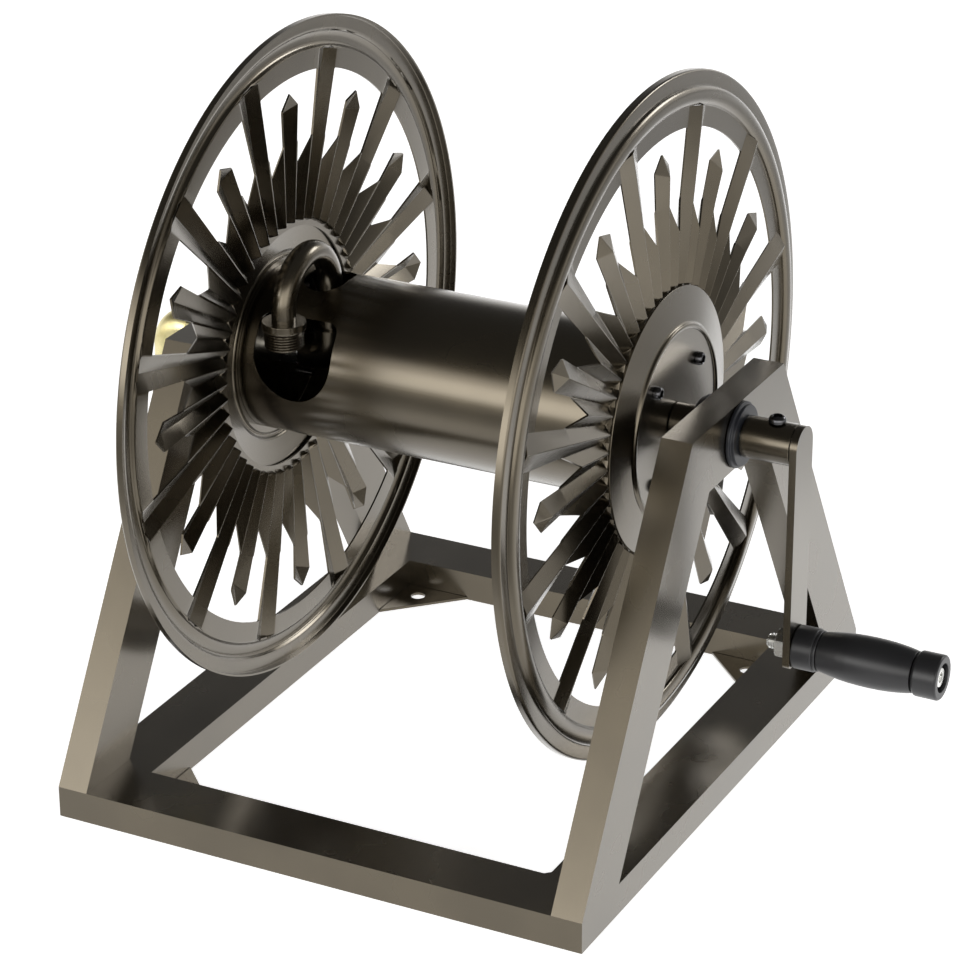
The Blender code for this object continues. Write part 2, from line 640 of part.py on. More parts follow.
def crank():
    """Sleeve on the shaft, flat arm hanging from it, and the bolt that carries the grip."""
    sleeve = ring_piece(SLEEVE_RADIUS, AXLE_RADIUS + GAP, SLEEVE_START, SLEEVE_END, 24)
    screw_out = 252.9 * MM
    hole = solid_rod(3.4 * MM, 0, 30 * MM, 12, collection=CUTTERS)
    hole.matrix_world = Matrix.Translation((0, 0, screw_out)) @ MIRROR_X
    cut(sleeve, hole)
    shade_round(sleeve.data)
    place_piece(sleeve, "crank_sleeve", ALONG_X, REEL_AXIS, BRONZE)

    profile = [(0, 21.0), (3.4, 20.6), (5.9, 19.0), (6.7, 17.4), (6.7, 16.3), (3.1, 16.3),
               (3.1, 3.0), (0, 3.0)]
    screw = turned_piece([(r * MM, z * MM) for r, z in profile], 16)
    place_piece(screw, "crank_screw", Matrix.Translation((screw_out, 0, 0)), REEL_AXIS, BLACK_SCREW)

    width = ARM_HALF_WIDTH
    foot = -CRANK_RADIUS - ARM_TAIL
    corner = 4.0 * MM
    outline = arc((0, 0), width, 0, 180, 16)
    outline += arc((corner - width, foot + corner), corner, 180, 270, 3)
    outline += arc((width - corner, foot + corner), corner, 270, 360, 3)
    hole = arc((0, -CRANK_RADIUS), STUD_RADIUS + GAP, 0, 345, 23)
    arm = flat_piece([outline, hole], ARM_OUTER - ARM_INNER)
    spot = Matrix.Translation(((ARM_OUTER + ARM_INNER) / 2, 0, 0)) @ UPRIGHT_YZ
    place_piece(arm, "crank_arm", spot, REEL_AXIS, BRONZE)

    drop = Matrix.Translation((0, 0, -CRANK_RADIUS)) @ ALONG_X
    profile = [(0, 389.6), (8.2, 389.6), (8.2, 381.5), (6.0, 381.5), (6.0, 252.6), (5.0, 251.6),
               (0, 251.6)]
    bolt = turned_piece([(r * MM, z * MM) for r, z in profile], 24)
    place_piece(bolt, "handle_bolt", drop, REEL_AXIS, ZINC)
    nut = hex_nut(12.6 * MM, STUD_RADIUS + GAP, 260.4 * MM, ARM_INNER - GAP)
    place_piece(nut, "handle_nut", drop, REEL_AXIS, ZINC)


def handle():
    """A fixed collar and end cap on the bolt, with the grip turning between them."""
    bore = STUD_RADIUS + 0.4 * MM
    collar = [(16.4, 292.0), (16.8, 291.2), (16.8, 276.4), (16.3, 275.6)]
    neck = [(15.8, 294.7), (15.8, 292.0)]
    grip = [(16.0, 370.2), (17.5, 362.0), (18.9, 350.0), (19.3, 340.0), (19.1, 328.0),
            (17.9, 313.0), (16.4, 302.0), (15.1, 295.1)]
    cap = [(16.8, 391.5), (17.5, 390.4), (17.5, 373.4), (15.4, 371.0)]
    drop = Matrix.Translation((0, 0, -CRANK_RADIUS)) @ ALONG_X
    profile = [(r * MM, z * MM) for r, z in neck + collar]
    profile += [(bore, collar[-1][1] * MM), (bore, neck[0][1] * MM)]
    place_piece(turned_piece(profile, 24, closed=True), "grip_collar", drop, REEL_AXIS, BLACK_PLASTIC)
    profile = [(r * MM, z * MM) for r, z in grip]
    profile += [(bore, grip[-1][1] * MM), (bore, grip[0][1] * MM)]
    place_piece(turned_piece(profile, 24, closed=True), "grip", ALONG_X, GRIP_AXIS, BLACK_PLASTIC)
    profile = [(r * MM, z * MM) for r, z in cap]
    profile += [(bore, cap[-1][1] * MM), (bore, 381.2 * MM), (11.2 * MM, 381.2 * MM),
                (11.2 * MM, HANDLE_END)]
    place_piece(turned_piece(profile, 24, closed=True), "grip_end_cap", drop, REEL_AXIS, BLACK_PLASTIC)


# ---------------------------------------------------------------- supply inlet


def inlet():
    """A swivelling elbow on the end of the water pipe, outside the left frame."""
    bore = AXLE_RADIUS + AXLE_CLEARANCE
    nut_in = -(STAND_WIDTH / 2 + 8.6 * MM)
    nut_out = nut_in - 16.0 * MM
    nut = hex_nut(21.5 * MM, bore, nut_out, nut_in)
    turn_nut = ALONG_X @ Matrix.Rotation(math.radians(30), 4, "Z")
    place_piece(nut, "inlet_swivel_nut", turn_nut, INLET_AXIS, BRASS)
    seal_in = nut_out - GAP
    seal = ring_piece(15.4 * MM, bore, seal_in - 1.2 * MM, seal_in, 24)
    place_piece(seal, "inlet_seal", ALONG_X, INLET_AXIS, RUBBER)
    start = seal_in - 1.2 * MM - GAP
    bend = 16.5 * MM
    corner = [(INLET_X + bend - bend * math.sin(a), 0, bend * math.cos(a) - bend)
              for a in [math.radians(15 * i) for i in range(7)]]
    route = [(start, 0, 0)] + corner + [(INLET_X, 0, INLET_BOTTOM + 20.0 * MM)]
    elbow = bent_pipe(route, INLET_RADIUS, 2.6 * MM)
    place_piece(elbow, "inlet_elbow", Matrix(), INLET_AXIS, BRASS)
    top = INLET_BOTTOM + 20.0 * MM - GAP
    profile = [(INLET_RADIUS, top), (INLET_RADIUS, top - 5.0 * MM), (13.5 * MM, top - 5.0 * MM),
               (13.5 * MM, INLET_BOTTOM), (9.0 * MM, INLET_BOTTOM), (9.0 * MM, top)]
    spot = Matrix.Translation((INLET_X, 0, 0))
    place_piece(turned_piece(profile, 24, closed=True), "inlet_thread", spot, INLET_AXIS, BRASS)


base_rails()
side_frames()
corner_gussets()
bushings()
flanges()
hub_cones_and_plates()
hub_screws()
drum()
axles()
water_way()
crank()
handle()
inlet()
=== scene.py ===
"""Looks of a garden hose reel on a tube stand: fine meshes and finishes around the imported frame.

Metres, in the frame's own axes: +X along the axle towards the crank, -Y the front, +Z up.
"""

import json
import math

import bmesh
import bpy
from mathutils import Matrix, Vector


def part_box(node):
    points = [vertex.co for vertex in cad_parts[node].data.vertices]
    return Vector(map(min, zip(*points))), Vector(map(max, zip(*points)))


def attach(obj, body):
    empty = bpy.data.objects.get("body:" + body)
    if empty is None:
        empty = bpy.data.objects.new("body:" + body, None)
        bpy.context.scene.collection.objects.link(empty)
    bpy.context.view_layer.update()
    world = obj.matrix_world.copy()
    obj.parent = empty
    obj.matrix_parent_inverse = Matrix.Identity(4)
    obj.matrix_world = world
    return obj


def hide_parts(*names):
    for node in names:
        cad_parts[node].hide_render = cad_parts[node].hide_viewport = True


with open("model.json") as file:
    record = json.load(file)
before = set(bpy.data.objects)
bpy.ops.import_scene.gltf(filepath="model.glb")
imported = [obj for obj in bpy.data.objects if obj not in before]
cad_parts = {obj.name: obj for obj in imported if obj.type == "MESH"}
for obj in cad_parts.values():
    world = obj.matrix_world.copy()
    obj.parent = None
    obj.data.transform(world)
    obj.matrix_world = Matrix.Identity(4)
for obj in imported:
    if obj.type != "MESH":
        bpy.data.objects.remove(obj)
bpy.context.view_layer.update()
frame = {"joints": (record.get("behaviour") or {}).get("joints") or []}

MM = 0.001

# Axle and handle lines, and the reel's middle plane, from the frame
JOINTS = {joint["name"]: joint for joint in frame["joints"]}
AXLE = Vector(JOINTS["reel_spin"]["pos_m"])
GRIP_LINE = Vector(JOINTS["grip_spin"]["pos_m"])
MIDDLE = (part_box("left_flange")[0].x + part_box("right_flange")[1].x) / 2

# Camera: where it stands, how it looks down and round, and its long lens
CAMERA_PLACE = Vector((1.1377, -2.3024, 1.3995))
CAMERA_DOWN = 24.43
CAMERA_ROUND = 27.23
CAMERA_ROLL = -0.21
CAMERA_LENS = 137.6

# Pressed flange: radius and distance out from the middle plane of each bend
RAYS = 12
SECTOR = 360 / RAYS
PLEAT = 7.5
RAY_HALF_ANGLE = 3.6
RIDGE_FOOT = (104.2, 164.9)
VALLEY_FOOT = (101.8, 158.0)
RIDGE_TUCK = (103.5, 163.1)
VALLEY_TUCK = (101.2, 163.1)
TUCK_END = (96.0, 163.1)
NOTCH_TOP = (144.5, 163.1)
NOTCH_SIDE = (168.0, 156.7)
NOTCH_RIDGE = (168.0, 163.0)
MEDIUM_RIDGE = (192.2, 163.0)
MEDIUM_SIDE = (197.4, 156.2)
MEDIUM_TIP = (208.5, 156.2)
ANNULUS_RIDGE = (220.3, 161.8)
LONG_RIDGE = (236.9, 161.1)
RIM_FACE = 156.4
ANNULUS_IN = 220.3
BEAD_IN = 236.0
BEAD_OUT = 250.9
BEAD_HEIGHT = 4.7
RIM_RADIUS = 262.7
RIM_ROUNDING = 2.2
LIP_END = 150.0
BEAD_STEPS = 14
SHEET = 1.5 * MM

# Stand, drum, axle and handle bolt
LEG_WIDTH = 53.5 * MM
TUBE_EDGE = 1.3 * MM
BUSHING_SEAT = 17.3 * MM
BUSHING_BARREL = 17.0 * MM
BUSHING_RADIUS = 25.4 * MM
GUSSET_HOLE = 6.0 * MM
GUSSET_HOLE_INSET = 16.5 * MM
DRUM_RADIUS = 65.6 * MM
DRUM_WALL = 1.6 * MM
HUB_PLATE_RADIUS = 71.2 * MM
HUB_SCREW_CIRCLE = 53.3 * MM
AXLE_RADIUS = 12.7 * MM
AXLE_BORE = 8.5 * MM
SLIDING_BORE = 13.0 * MM
SLEEVE_RADIUS = 16.0 * MM
BOLT_RADIUS = 6.0 * MM
BOLT_HOLE = 6.3 * MM
HOSE_THREAD_PITCH = 2.2 * MM

# Floor: how bright it glows along Y, as (metres, level), by the far legs and by the crank
FAR_SIDE_GLOW = ((-1.0, 0.05), (-0.62, 0.38), (-0.47, 0.88))
CRANK_SIDE_GLOW = ((-0.6, 0.3), (0.1, 1.05), (0.42, 1.05), (0.68, 0.5), (1.2, 0.1))
GLOW_REACH = 2.0
GLOW_SEAM = (0.2, 0.55)

# Surroundings: a bright band round the foot of the sky, each value behind and what the front adds
FRONT_SECTOR = (-0.65, 0.1)
BAND_START = (0.05, 0.34)
BAND_END = (0.46, 0.10)
BAND_LEVEL = (1.0, 1.3)
OVERHEAD_LEVEL = 0.09


# ---------------------------------------------------------------- finishes


def node(tree, kind, **sockets):
    """A node with some of its inputs set by name."""
    made = tree.nodes.new(kind)
    for name, value in sockets.items():
        made.inputs[name.replace("_", " ")].default_value = value
    return made


def new_finish(name, colour, metallic, roughness):
    material = bpy.data.materials.new(name)
    material.use_nodes = True
    tree = material.node_tree
    shader = tree.nodes["Principled BSDF"]
    shader.inputs["Base Color"].default_value = (*colour, 1)
    shader.inputs["Metallic"].default_value = metallic
    shader.inputs["Roughness"].default_value = roughness
    place = tree.nodes.new("ShaderNodeTexCoord")
    return material, tree, shader, place.outputs["Object"]


def blend_colour(tree, factor, low, high):
    ramp = tree.nodes.new("ShaderNodeValToRGB")
    ramp.color_ramp.elements[0].color = (*low, 1)
    ramp.color_ramp.elements[1].color = (*high, 1)
    tree.links.new(factor, ramp.inputs["Fac"])
    return ramp


def spread(tree, factor, low, high, start=0.3, end=0.7):
    span = node(tree, "ShaderNodeMapRange", From_Min=start, From_Max=end, To_Min=low, To_Max=high)
    tree.links.new(factor, span.inputs["Value"])
    return span.outputs["Result"]


def relief(tree, shader, heights, distance, strength=1.0):
    bump = node(tree, "ShaderNodeBump", Strength=strength, Distance=distance)
    tree.links.new(heights, bump.inputs["Height"])
    tree.links.new(bump.outputs["Normal"], shader.inputs["Normal"])


def powder_coat(name):
    """Semi-gloss metallic bronze: fine metal flake under a faint orange peel."""
    dark, light = (0.074, 0.057, 0.030), (0.092, 0.072, 0.040)
    material, tree, shader, place = new_finish(name, light, 1.0, 0.27)
    shader.inputs["Coat Weight"].default_value = 1.0
    shader.inputs["Coat IOR"].default_value = 1.6
    shader.inputs["Coat Roughness"].default_value = 0.21
    cloud = node(tree, "ShaderNodeTexNoise", Scale=14.0, Detail=3.0)
    flake = node(tree, "ShaderNodeTexNoise", Scale=900.0, Detail=1.0)
    peel = node(tree, "ShaderNodeTexNoise", Scale=260.0, Detail=1.0)
    for texture in (cloud, flake, peel):
        tree.links.new(place, texture.inputs["Vector"])
    mixed = node(tree, "ShaderNodeMix")
    mixed.data_type = "FLOAT"
    mixed.inputs[0].default_value = 0.15
    tree.links.new(cloud.outputs["Fac"], mixed.inputs[2])
    tree.links.new(flake.outputs["Fac"], mixed.inputs[3])
    colour = blend_colour(tree, mixed.outputs[0], dark, light)
    colour.color_ramp.elements[0].position = 0.38
    colour.color_ramp.elements[1].position = 0.62
    tree.links.new(colour.outputs["Color"], shader.inputs["Base Color"])
    tree.links.new(spread(tree, cloud.outputs["Fac"], 0.23, 0.29), shader.inputs["Roughness"])
    relief(tree, shader, peel.outputs["Fac"], 0.002 * MM, 0.3)
    return material


def moulded(name, dark, light, roughness, grain=900.0):
    """Moulded plastic: an even body with a fine spark-eroded grain."""
    material, tree, shader, place = new_finish(name, light, 0.0, roughness)
    cloud = node(tree, "ShaderNodeTexNoise", Scale=35.0, Detail=4.0)
    skin = node(tree, "ShaderNodeTexVoronoi", Scale=grain)
    tree.links.new(place, cloud.inputs["Vector"])
    tree.links.new(place, skin.inputs["Vector"])
    colour = blend_colour(tree, cloud.outputs["Fac"], dark, light)
    tree.links.new(colour.outputs["Color"], shader.inputs["Base Color"])
    rough = spread(tree, cloud.outputs["Fac"], roughness - 0.04, roughness + 0.04)
    tree.links.new(rough, shader.inputs["Roughness"])
    relief(tree, shader, skin.outputs["Distance"], 0.02 * MM, 0.6)
    return material


def plated(name, dark, light, roughness, grain):
    """Bare or plated metal with fine turning lines round X and cloudy tarnish."""
    material, tree, shader, place = new_finish(name, light, 1.0, roughness)
    cloud = node(tree, "ShaderNodeTexNoise", Scale=90.0, Detail=4.0)
    stretch = node(tree, "ShaderNodeMapping", Scale=grain)
    lines = node(tree, "ShaderNodeTexNoise", Scale=1.0, Detail=2.0)
    tree.links.new(place, cloud.inputs["Vector"])
    tree.links.new(place, stretch.inputs["Vector"])
    tree.links.new(stretch.outputs["Vector"], lines.inputs["Vector"])
    colour = blend_colour(tree, cloud.outputs["Fac"], dark, light)
    colour.color_ramp.elements[0].position = 0.3
    colour.color_ramp.elements[1].position = 0.6
    tree.links.new(colour.outputs["Color"], shader.inputs["Base Color"])
    rough = spread(tree, cloud.outputs["Fac"], roughness + 0.08, roughness - 0.04)
    tree.links.new(rough, shader.inputs["Roughness"])
    relief(tree, shader, lines.outputs["Fac"], 0.02 * MM, 0.5)
    return material


BRONZE = powder_coat("bronze_powder_coat")
BUSHING = moulded("blue_grey_nylon", (0.009, 0.010, 0.014), (0.016, 0.018, 0.024), 0.40)
GRIP_BLACK = moulded("black_moulding", (0.010, 0.010, 0.011), (0.020, 0.020, 0.022), 0.36, 1300.0)
SCREW_BLACK = plated("black_oxide", (0.05, 0.05, 0.055), (0.12, 0.12, 0.125), 0.20,
                     (300, 300, 300))
ZINC = plated("bright_zinc", (0.55, 0.55, 0.53), (0.80, 0.80, 0.78), 0.22, (1800, 60, 60))
BRASS = plated("cast_brass", (0.55, 0.47, 0.20), (0.78, 0.70, 0.38), 0.30, (700, 700, 700))
SEAL = moulded("black_rubber", (0.012, 0.012, 0.012), (0.022, 0.022, 0.022), 0.62, 2200.0)


# ---------------------------------------------------------------- making meshes


def shape_from(name, work):
    """A new object from an edited mesh, its place kept in the mesh."""
    mesh = bpy.data.meshes.new(name)
    work.to_mesh(mesh)
    work.free()
    piece = bpy.data.objects.new(name, mesh)
    bpy.context.scene.collection.objects.link(piece)
    return piece


def settled(piece):
    """Turn an object's modifiers and place into its mesh."""
    bpy.context.view_layer.update()
    graph = bpy.context.evaluated_depsgraph_get()
    mesh = bpy.data.meshes.new_from_object(piece.evaluated_get(graph))
    mesh.transform(piece.matrix_world)
    name = piece.name
    bpy.data.objects.remove(piece, do_unlink=True)
    made = bpy.data.objects.new(name, mesh)
    bpy.context.scene.collection.objects.link(made)
    return made


def tidy_mesh(piece):
    """Merge a piece's doubled points and turn its faces outwards."""
    work = bmesh.new()
    work.from_mesh(piece.data)
    bmesh.ops.remove_doubles(work, verts=work.verts, dist=1e-6)
    bmesh.ops.recalc_face_normals(work, faces=work.faces)
    work.to_mesh(piece.data)
    work.free()
    return piece


def finished(piece, material, body, *nodes, sharp=35):
    """Shade a finished piece, coat it, and let it stand for its nodes on their body."""
    mesh = piece.data
    mesh.name = piece.name
    mesh.materials.clear()
    mesh.materials.append(material)
    mesh.shade_smooth()
    mesh.set_sharp_from_angle(angle=math.radians(sharp))
    even = piece.modifiers.new("flat_faces_stay_flat", "WEIGHTED_NORMAL")
    even.keep_sharp = True
    even.weight = 80
    piece = settled(piece)
    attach(piece, body)
    if nodes:
        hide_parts(*nodes)
    return piece


def bevelled(piece, width, segments=3, limit=40):
    edge = piece.modifiers.new("eased_edges", "BEVEL")
    edge.width = width
    edge.segments = segments
    edge.limit_method = "ANGLE"
    edge.angle_limit = math.radians(limit)
    edge.use_clamp_overlap = True
    return settled(piece)


def joined(piece, other, operation):
    change = piece.modifiers.new("join", "BOOLEAN")
    change.operation = operation
    change.solver = "EXACT"
    change.object = other
    made = settled(piece)
    bpy.data.objects.remove(other, do_unlink=True)
    return made


def eased(points, radius, closed=True, steps=3):
    """An outline with its corners rounded, by less where its sides are short."""
    result = []
    count = len(points)
    for i, point in enumerate(points):
        here = Vector(point)
        if not closed and i in (0, count - 1):
            result.append(tuple(here))
            continue
        before = Vector(points[i - 1]) - here
        after = Vector(points[(i + 1) % count]) - here
        reach = min(radius, 0.45 * before.length, 0.45 * after.length)
        start = here + before.normalized() * reach
        end = here + after.normalized() * reach
        for k in range(steps + 1):
            t = k / steps
            result.append(tuple(start * (1 - t) ** 2 + here * 2 * t * (1 - t) + end * t ** 2))
    return result


def turned(name, profile, centre, axis="X", steps=96, rounding=0.0, closed=True):
    """A profile of (radius, distance along the axis) points, turned about a line."""
    if rounding:
        profile = eased(profile, rounding, closed)
    lift = {"X": lambda r, d: Vector((d, 0, r)), "Z": lambda r, d: Vector((r, 0, d))}[axis]
    line = {"X": Vector((1, 0, 0)), "Z": Vector((0, 0, 1))}[axis]
    work = bmesh.new()
    corners = [work.verts.new(lift(r, d)) for r, d in profile]
    sides = [work.edges.new(pair) for pair in zip(corners, corners[1:])]
    if closed:
        sides.append(work.edges.new((corners[-1], corners[0])))
    bmesh.ops.spin(work, geom=corners + sides, cent=(0, 0, 0), axis=line, angle=math.tau,
                   steps=steps, use_merge=True)
    bmesh.ops.remove_doubles(work, verts=work.verts, dist=1e-6)
    bmesh.ops.recalc_face_normals(work, faces=work.faces)
    bmesh.ops.translate(work, verts=work.verts, vec=centre)
    return shape_from(name, work)


def tube_section(inner, outer, low, high):
    """Half the section of a tube, as turned() takes it."""
    return [(inner, low), (outer, low), (outer, high), (inner, high)]


def arc(centre, radius, start, end, steps):
    """Points on an arc, angles in degrees."""
    turns = [math.radians(start + (end - start) * i / steps) for i in range(steps + 1)]
    return [(centre[0] + radius * math.cos(t), centre[1] + radius * math.sin(t)) for t in turns]


def plate(name, outlines, thickness, matrix):
    """A flat outline with any holes, filled and thickened, then set in place."""
    curve = bpy.data.curves.new(name, "CURVE")
    curve.dimensions = "2D"
    curve.fill_mode = "BOTH"
    curve.extrude = thickness / 2
    for outline in outlines:
        spline = curve.splines.new("POLY")
        spline.points.add(len(outline) - 1)
        for point, (u, v) in zip(spline.points, outline):
            point.co = (u, v, 0, 1)
        spline.use_cyclic_u = True
    flat = bpy.data.objects.new(name, curve)
    bpy.context.scene.collection.objects.link(flat)
    flat.matrix_world = matrix
    return tidy_mesh(settled(flat))


UPRIGHT_YZ = Matrix(((0, 0, 1, 0), (1, 0, 0, 0), (0, 1, 0, 0), (0, 0, 0, 1)))


def hex_nut(name, node_name, line, corner, face, hole, chamfer, hole_steps, edge):
    """A hexagon nut on a line along X, its corners chamfered down to its round faces."""
    low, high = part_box(node_name)
    hexagon = arc((0, line), corner, 90, 390, 5)
    bore = arc((0, line), hole, 0, 360 - 360 / (hole_steps + 1), hole_steps)
    nut = plate(name, [hexagon, bore], high.x - low.x,
                Matrix.Translation(((low.x + high.x) / 2, 0, 0)) @ UPRIGHT_YZ)
    wide = corner + 0.1 * MM
    cone = turned("chamfer", [(0, low.x), (face, low.x), (wide, low.x + chamfer),
                              (wide, high.x - chamfer), (face, high.x), (0, high.x)],
                  Vector((0, 0, line)), closed=False)
    return bevelled(joined(nut, cone, "INTERSECT"), edge, 2)


def pipe(name, points, radius, wall):
    """A hollow pipe along a smooth line of points, open at both ends."""
    curve = bpy.data.curves.new(name, "CURVE")
    curve.dimensions = "3D"
    curve.bevel_depth = radius
    curve.bevel_resolution = 14
    spline = curve.splines.new("POLY")
    spline.points.add(len(points) - 1)
    for point, place in zip(spline.points, points):
        point.co = (*place, 1)
    line = bpy.data.objects.new(name, curve)
    bpy.context.scene.collection.objects.link(line)
    skin = tidy_mesh(settled(line))
    thick = skin.modifiers.new("wall", "SOLIDIFY")
    thick.thickness = wall
    thick.offset = -1
    return settled(skin)


def threaded(name, radius, root, pitch, top, length, centre, start, end, chamfer=1.0 * MM):
    """A male thread about Z, hanging down from its top.

    start and end are plain rings, as (radius, distance down), that finish the body above and
    below the helical ridge; a body that does not end on its own axis is closed into a tube.
    """
    around = 96
    along = max(40, round(length / pitch * 16))
    work = bmesh.new()

    def ring(reach, down):
        turns = [math.tau * k / around for k in range(around)]
        return [work.verts.new((reach(k) * math.cos(t), reach(k) * math.sin(t), top - down))
                for k, t in enumerate(turns)]

    def ridge(down):
        fade = max(0.0, min(1.0, down / pitch, (length - down) / chamfer))

        def reach(k):
            phase = (down / pitch + k / around) % 1.0
            tooth = min(1.0, max(0.0, 1.5 * (1 - abs(2 * phase - 1)) - 0.25))
            return root + (radius - root) * tooth * fade
        return reach

    rings = [ring(lambda k, r=r: r, down) for r, down in start]
    rings += [ring(ridge(length * i / along), length * i / along) for i in range(along + 1)]
    rings += [ring(lambda k, r=r: r, down) for r, down in end]
    if end[-1][0] > 0:
        rings.append(rings[0])
    for upper, lower in zip(rings, rings[1:]):
        for k in range(around):
            after = (k + 1) % around
            work.faces.new((upper[k], upper[after], lower[after], lower[k]))
    bmesh.ops.remove_doubles(work, verts=work.verts, dist=1e-7)
    bmesh.ops.recalc_face_normals(work, faces=work.faces)
    bmesh.ops.translate(work, verts=work.verts, vec=centre)
    return shape_from(name, work)


def copies_tree():
    """Geometry nodes that set copies of a piece at equal turns about a line along X."""
    tree = bpy.data.node_groups.new("copies_about_the_axle", "GeometryNodeTree")
    face = tree.interface
    for name, kind in (("Geometry", "Geometry"), ("Copies", "Int"), ("First turn", "Float"),
                       ("Axle point", "Vector"), ("Merge distance", "Float"),
                       ("Finish", "Material")):
        face.new_socket(name, in_out="INPUT", socket_type="NodeSocket" + kind)
    face.new_socket("Geometry", in_out="OUTPUT", socket_type="NodeSocketGeometry")
    given = tree.nodes.new("NodeGroupInput")
    result = tree.nodes.new("NodeGroupOutput")
    points = tree.nodes.new("GeometryNodePoints")
    index = tree.nodes.new("GeometryNodeInputIndex")
    step = tree.nodes.new("ShaderNodeMath")
    step.operation = "DIVIDE"
    step.inputs[0].default_value = math.tau
    turn = tree.nodes.new("ShaderNodeMath")
    turn.operation = "MULTIPLY_ADD"
    rotation = tree.nodes.new("FunctionNodeAxisAngleToRotation")
    rotation.inputs["Axis"].default_value = (1, 0, 0)
    copies = tree.nodes.new("GeometryNodeInstanceOnPoints")
    real = tree.nodes.new("GeometryNodeRealizeInstances")
    merge = tree.nodes.new("GeometryNodeMergeByDistance")
    coat = tree.nodes.new("GeometryNodeSetMaterial")
    link = tree.links.new
    link(given.outputs["Copies"], points.inputs["Count"])
    link(given.outputs["Axle point"], points.inputs["Position"])
    link(given.outputs["Copies"], step.inputs[1])
    link(index.outputs["Index"], turn.inputs[0])
    link(step.outputs[0], turn.inputs[1])
    link(given.outputs["First turn"], turn.inputs[2])
    link(turn.outputs[0], rotation.inputs["Angle"])
    link(points.outputs[0], copies.inputs["Points"])
    link(given.outputs["Geometry"], copies.inputs["Instance"])
    link(rotation.outputs["Rotation"], copies.inputs["Rotation"])
    link(copies.outputs["Instances"], real.inputs["Geometry"])
    link(real.outputs["Geometry"], merge.inputs["Geometry"])
    link(given.outputs["Merge distance"], merge.inputs["Distance"])
    link(merge.outputs["Geometry"], coat.inputs["Geometry"])
    link(given.outputs["Finish"], coat.inputs["Material"])
    link(coat.outputs["Geometry"], result.inputs["Geometry"])
    return tree


COPIES = copies_tree()


def copied_about_axle(piece, copies, first_turn, material, merge=2e-6):
    """Copies of a piece, drawn about the origin, set round the axle and made one mesh."""
    ring = piece.modifiers.new("copies", "NODES")
    ring.node_group = COPIES
    values = {"Copies": copies, "First turn": first_turn, "Axle point": AXLE,
              "Merge distance": merge, "Finish": material}
    for item in COPIES.interface.items_tree:
        if item.item_type == "SOCKET" and item.in_out == "INPUT" and item.name in values:
            ring[item.identifier] = values[item.name]
    return settled(piece)


# ---------------------------------------------------------------- stand


